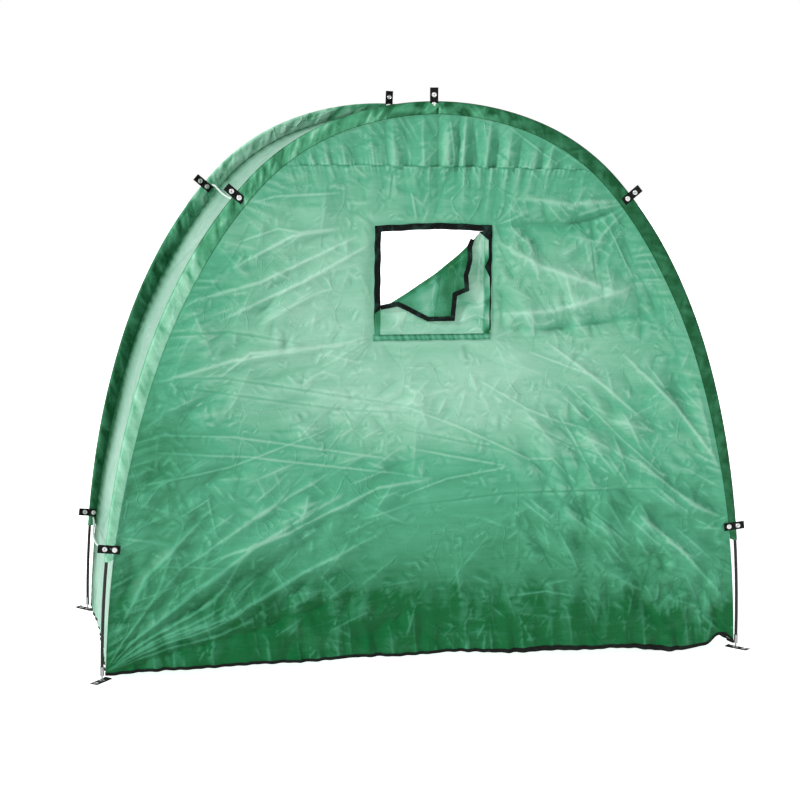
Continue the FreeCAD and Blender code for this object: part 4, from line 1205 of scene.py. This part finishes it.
SOCKET = [(0.0018, 0.0002), (0.0042, 0.0002), (0.0042, 0.0012), (0.0046, 0.0019), (0.0056, 0.0023), (0.0066, 0.0020),
          (0.0074, 0.0010), (0.0076, 0.0)]
STUD = [(0.0, 0.0026), (0.0012, 0.0026), (0.0015, 0.0020), (0.0026, 0.0027), (0.0034, 0.0024), (0.0035, 0.0015),
        (0.0033, 0.0009), (0.0045, 0.0008), (0.0062, 0.0011), (0.0072, 0.0008), (0.0076, 0.0)]
tab_places = []
for arch_name, plane, low_z, high_z, top_path in (("near", NEAR, 0.387, 1.386, -0.015),
                                                  ("far", FAR, 0.326, 1.388, 0.025)):
    for level_name, side in (("lower", -1), ("upper", -1), ("top", 0), ("upper", 1), ("lower", 1)):
        reach = {"lower": (0.022, 0.032), "upper": (0.033, 0.033), "top": (0.038, 0.040)}[level_name][plane > 0]
        if side == 0:
            tab_places.append((f"{arch_name}_top", plane, top_path, reach))
        else:
            height = low_z if level_name == "lower" else high_z
            tab_places.append((f"{arch_name}_{level_name}_{'left' if side < 0 else 'right'}", plane,
                               side * path_at_height(height), reach))

studs = []
rng = np.random.default_rng(121)
for name, plane, path, reach in tab_places:
    _, _, angle = arch(path)
    face = plane - 0.0005
    along = Vector((math.cos(angle), 0.0, -math.sin(angle)))
    inner = 0.064 - reach
    if plane > 0:
        inner = min(inner, float(seam_inset(path)) - 0.0013)
    fold = 0.034 - reach
    curl = rng.uniform(-0.0006, 0.0026)
    stops = np.linspace(inner, -reach, 46)
    lift = 0.00075 + np.where(stops < fold - 0.003, curl * ((fold - 0.003 - stops) / 0.03) ** 2, 0.0)
    line = [on_arch(path, s, face - h) for s, h in zip(stops, lift)]
    strap = ribbon(f"{name}_tab_strap", line, along * 0.012, (0, 0.00075, 0), black_webbing)
    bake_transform(strap)
    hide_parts(f"{name}_tab_tip", "tab_roots")
    tip_lift = float(np.interp(-(0.020 - reach), -stops, lift)) + 0.00075
    ring = lathe(f"{name}_tab_socket", SOCKET, on_arch(path, 0.020 - reach, face - tip_lift), stud_nickel)
    keep_on(ring, f"{name}_tab", "stud_metal", f"{name}_tab_tip")
    studs.append(lathe(f"{name}_stud", STUD, on_arch(path, 0.048 - reach, face - 0.0015), stud_nickel))
keep_on(join("tab_stud_caps", studs), "shelter", "stud_metal", "tab_studs")


# ---------------------------------------------------------------- feet
POLE_FOOT = float(arch(PATH_END - 0.028, 0.0065)[0])
eyelets = []
RIM = [(0.0040, 0.0002), (0.0040, 0.0023), (0.0046, 0.0030), (0.0060, 0.0031), (0.0076, 0.0027), (0.0080, 0.0022)]
for arch_name, plane, ahead in (("near", NEAR, -1), ("far", FAR, 1)):
    for side, side_name in ((-1, "left"), (1, "right")):
        heading = np.array((side * 0.658, ahead * 0.753))
        across = np.array((-heading[1], heading[0]))
        foot = np.array((side * POLE_FOOT, plane + 0.007))
        outline = [tuple(foot + heading * a + across * b) for a, b in ((-0.030, -0.0125), (0.044, -0.0125),
                                                                     (0.044, 0.0125), (-0.030, 0.0125))]
        holes = [(*(foot + heading * a), 0.005) for a in (0.0, 0.028)]
        tab = cut_sheet(f"{arch_name}_{side_name}_foot_tab_strip", outline, 0.003, black_webbing, holes, "xy")
        points = corners_of(tab)
        out = (points[:, :2] - foot) @ heading
        points[:, 2] = 0.0013 + 0.0022 * np.clip((out - 0.034) / 0.01, 0, 1) ** 2 + 0.0016 * np.clip(
            (-0.012 - out) / 0.018, 0, 1) ** 2
        place_corners(tab, points)
        thicken(tab, 0.0015)
        keep_on(tab, "shelter", "webbing", f"{arch_name}_{side_name}_foot_tab")
        for a in (0.0, 0.028):
            spot = foot + heading * a
            rim = lathe("rim", RIM, (0, 0, 0), eyelet_nickel)
            upright = Matrix.Rotation(math.pi / 2, 4, "X").inverted()
            rim.data.transform(Matrix.Translation((*spot, 0.0)) @ upright)
            eyelets.append(rim)
keep_on(join("foot_eyelet_rims", eyelets), "shelter", "eyelet_metal", "foot_eyelets")


# ---------------------------------------------------------------- door straps and zips
for side, side_name in ((-1, "left"), (1, "right")):
    middle = side * 0.28
    turn = np.linspace(math.radians(88), math.radians(-268), 90)
    ring_r = ROLL_RADIUS + 0.00105
    loop = [(middle, ROLL_Y + ring_r * math.sin(t), ROLL_Z + ring_r * math.cos(t)) for t in turn]
    normal = [(0, 0.00075 * math.sin(t), 0.00075 * math.cos(t)) for t in turn]
    tail = [(middle, FAR - 0.0014, z) for z in np.linspace(DOOR_TOP + 0.049, ROLL_Z + 0.004, 16)]
    line = tail + loop
    thick = [(0, 0.00075, 0)] * len(tail) + normal
    strip(f"door_strap_{side_name}", line, (0.010, 0, 0), thick, black_webbing, "webbing")

    edge = side * DOOR_HALF
    height = np.linspace(0.060, 1.290, 240)
    ripple = FAR + 0.0010 + 0.0001 * np.sin(height * 300)
    tape_line = np.stack([np.full(240, edge + side * 0.007), ripple, height], axis=-1)
    tape = ribbon("tape", tape_line, (0.007, 0, 0), (0, 0.0005, 0), zip_black)
    work = bmesh.new()
    work.from_mesh(tape.data)
    for z in np.arange(0.061, 1.289, 0.0017):
        tooth = bmesh.ops.create_cube(work, size=1.0)["verts"]
        bmesh.ops.scale(work, verts=tooth, vec=(0.0029, 0.0015, 0.0010))
        bmesh.ops.translate(work, verts=tooth, vec=(edge + side * 0.0015, FAR + 0.0023, float(z)))
    work.to_mesh(tape.data)
    work.free()
    tape.name = f"zip_tape_{side_name}_strip"
    keep_on(tape, "shelter", "zip_plastic", f"zip_tape_{side_name}")
    dress(f"zip_slider_{side_name}", zip_steel)
    dress(f"zip_pull_{side_name}", zip_black)


# ---------------------------------------------------------------- look of the carried-over parts
for arch_name in ("near", "far"):
    dress(f"{arch_name}_pole_sections", pole_black)
    dress(f"{arch_name}_pole_ferrules", ferrule_steel)
    dress(f"{arch_name}_pole_elastic", elastic_white)
    dress(f"{arch_name}_pole_tips", tip_steel)


# ---------------------------------------------------------------- floor and light
floor_mesh = bpy.data.meshes.new("floor")
floor_mesh.from_pydata([(-30, -30, 0), (30, -30, 0), (30, 30, 0), (-30, 30, 0)], [], [(0, 1, 2, 3)])
floor_look = Shader("floor")
floor_look.set(Base_Color=floor_look.mix(floor_look.noise(0.6, 2.0), srgb(247, 247, 247), srgb(251, 251, 251)),
               Roughness=0.9, Emission_Color=(1.0, 1.0, 1.0, 1.0), Emission_Strength=0.75)
floor_mesh.materials.append(floor_look.material)
floor = add_object("floor", floor_mesh)
floor.location.z = -0.0004

world = bpy.data.worlds.new("studio")
world.use_nodes = True
sky = world.node_tree
direction = sky.nodes.new("ShaderNodeTexCoord")
split = sky.nodes.new("ShaderNodeSeparateXYZ")
fall = sky.nodes.new("ShaderNodeValToRGB")
fall.color_ramp.elements[0].position = 0.45
fall.color_ramp.elements[0].color = (0.19, 0.19, 0.19, 1.0)
fall.color_ramp.elements[1].position = 0.60
fall.color_ramp.elements[1].color = (1.05, 1.05, 1.05, 1.0)
half = sky.nodes.new("ShaderNodeMath")
half.operation = "MULTIPLY_ADD"
half.inputs[1].default_value = 0.5
half.inputs[2].default_value = 0.5
sky.links.new(direction.outputs["Generated"], split.inputs[0])
sky.links.new(split.outputs["Y"], half.inputs[0])
sky.links.new(half.outputs[0], fall.inputs[0])
seen = sky.nodes.new("ShaderNodeLightPath")
plain = sky.nodes.new("ShaderNodeMix")
plain.data_type = "RGBA"
plain.inputs[7].default_value = (1.0, 1.0, 1.0, 1.0)
sky.links.new(seen.outputs["Is Camera Ray"], plain.inputs[0])
sky.links.new(fall.outputs[0], plain.inputs[6])
sky.links.new(plain.outputs[2], sky.nodes["Background"].inputs[0])
scene.world = world
scene.view_settings.view_transform = "Standard"


def lamp(name, kind, heading, energy, place=(0.0, 0.0, 0.0)):
    """Lamp that shines along a heading."""
    light = bpy.data.lights.new(name, kind)
    light.energy = energy
    made = add_object(name, light)
    made.location = place
    made.rotation_mode = "QUATERNION"
    made.rotation_quaternion = Vector(heading).to_track_quat("-Z", "Y")
    return light


lamp("key", "SUN", (0.80, 0.31, -0.56), 4.1).angle = math.radians(5.0)
front = lamp("front", "AREA", (-1.5, 5.6, -1.7), 60.0, (1.5, -6.0, 2.5))
front.shape = "DISK"
front.size = 3.0
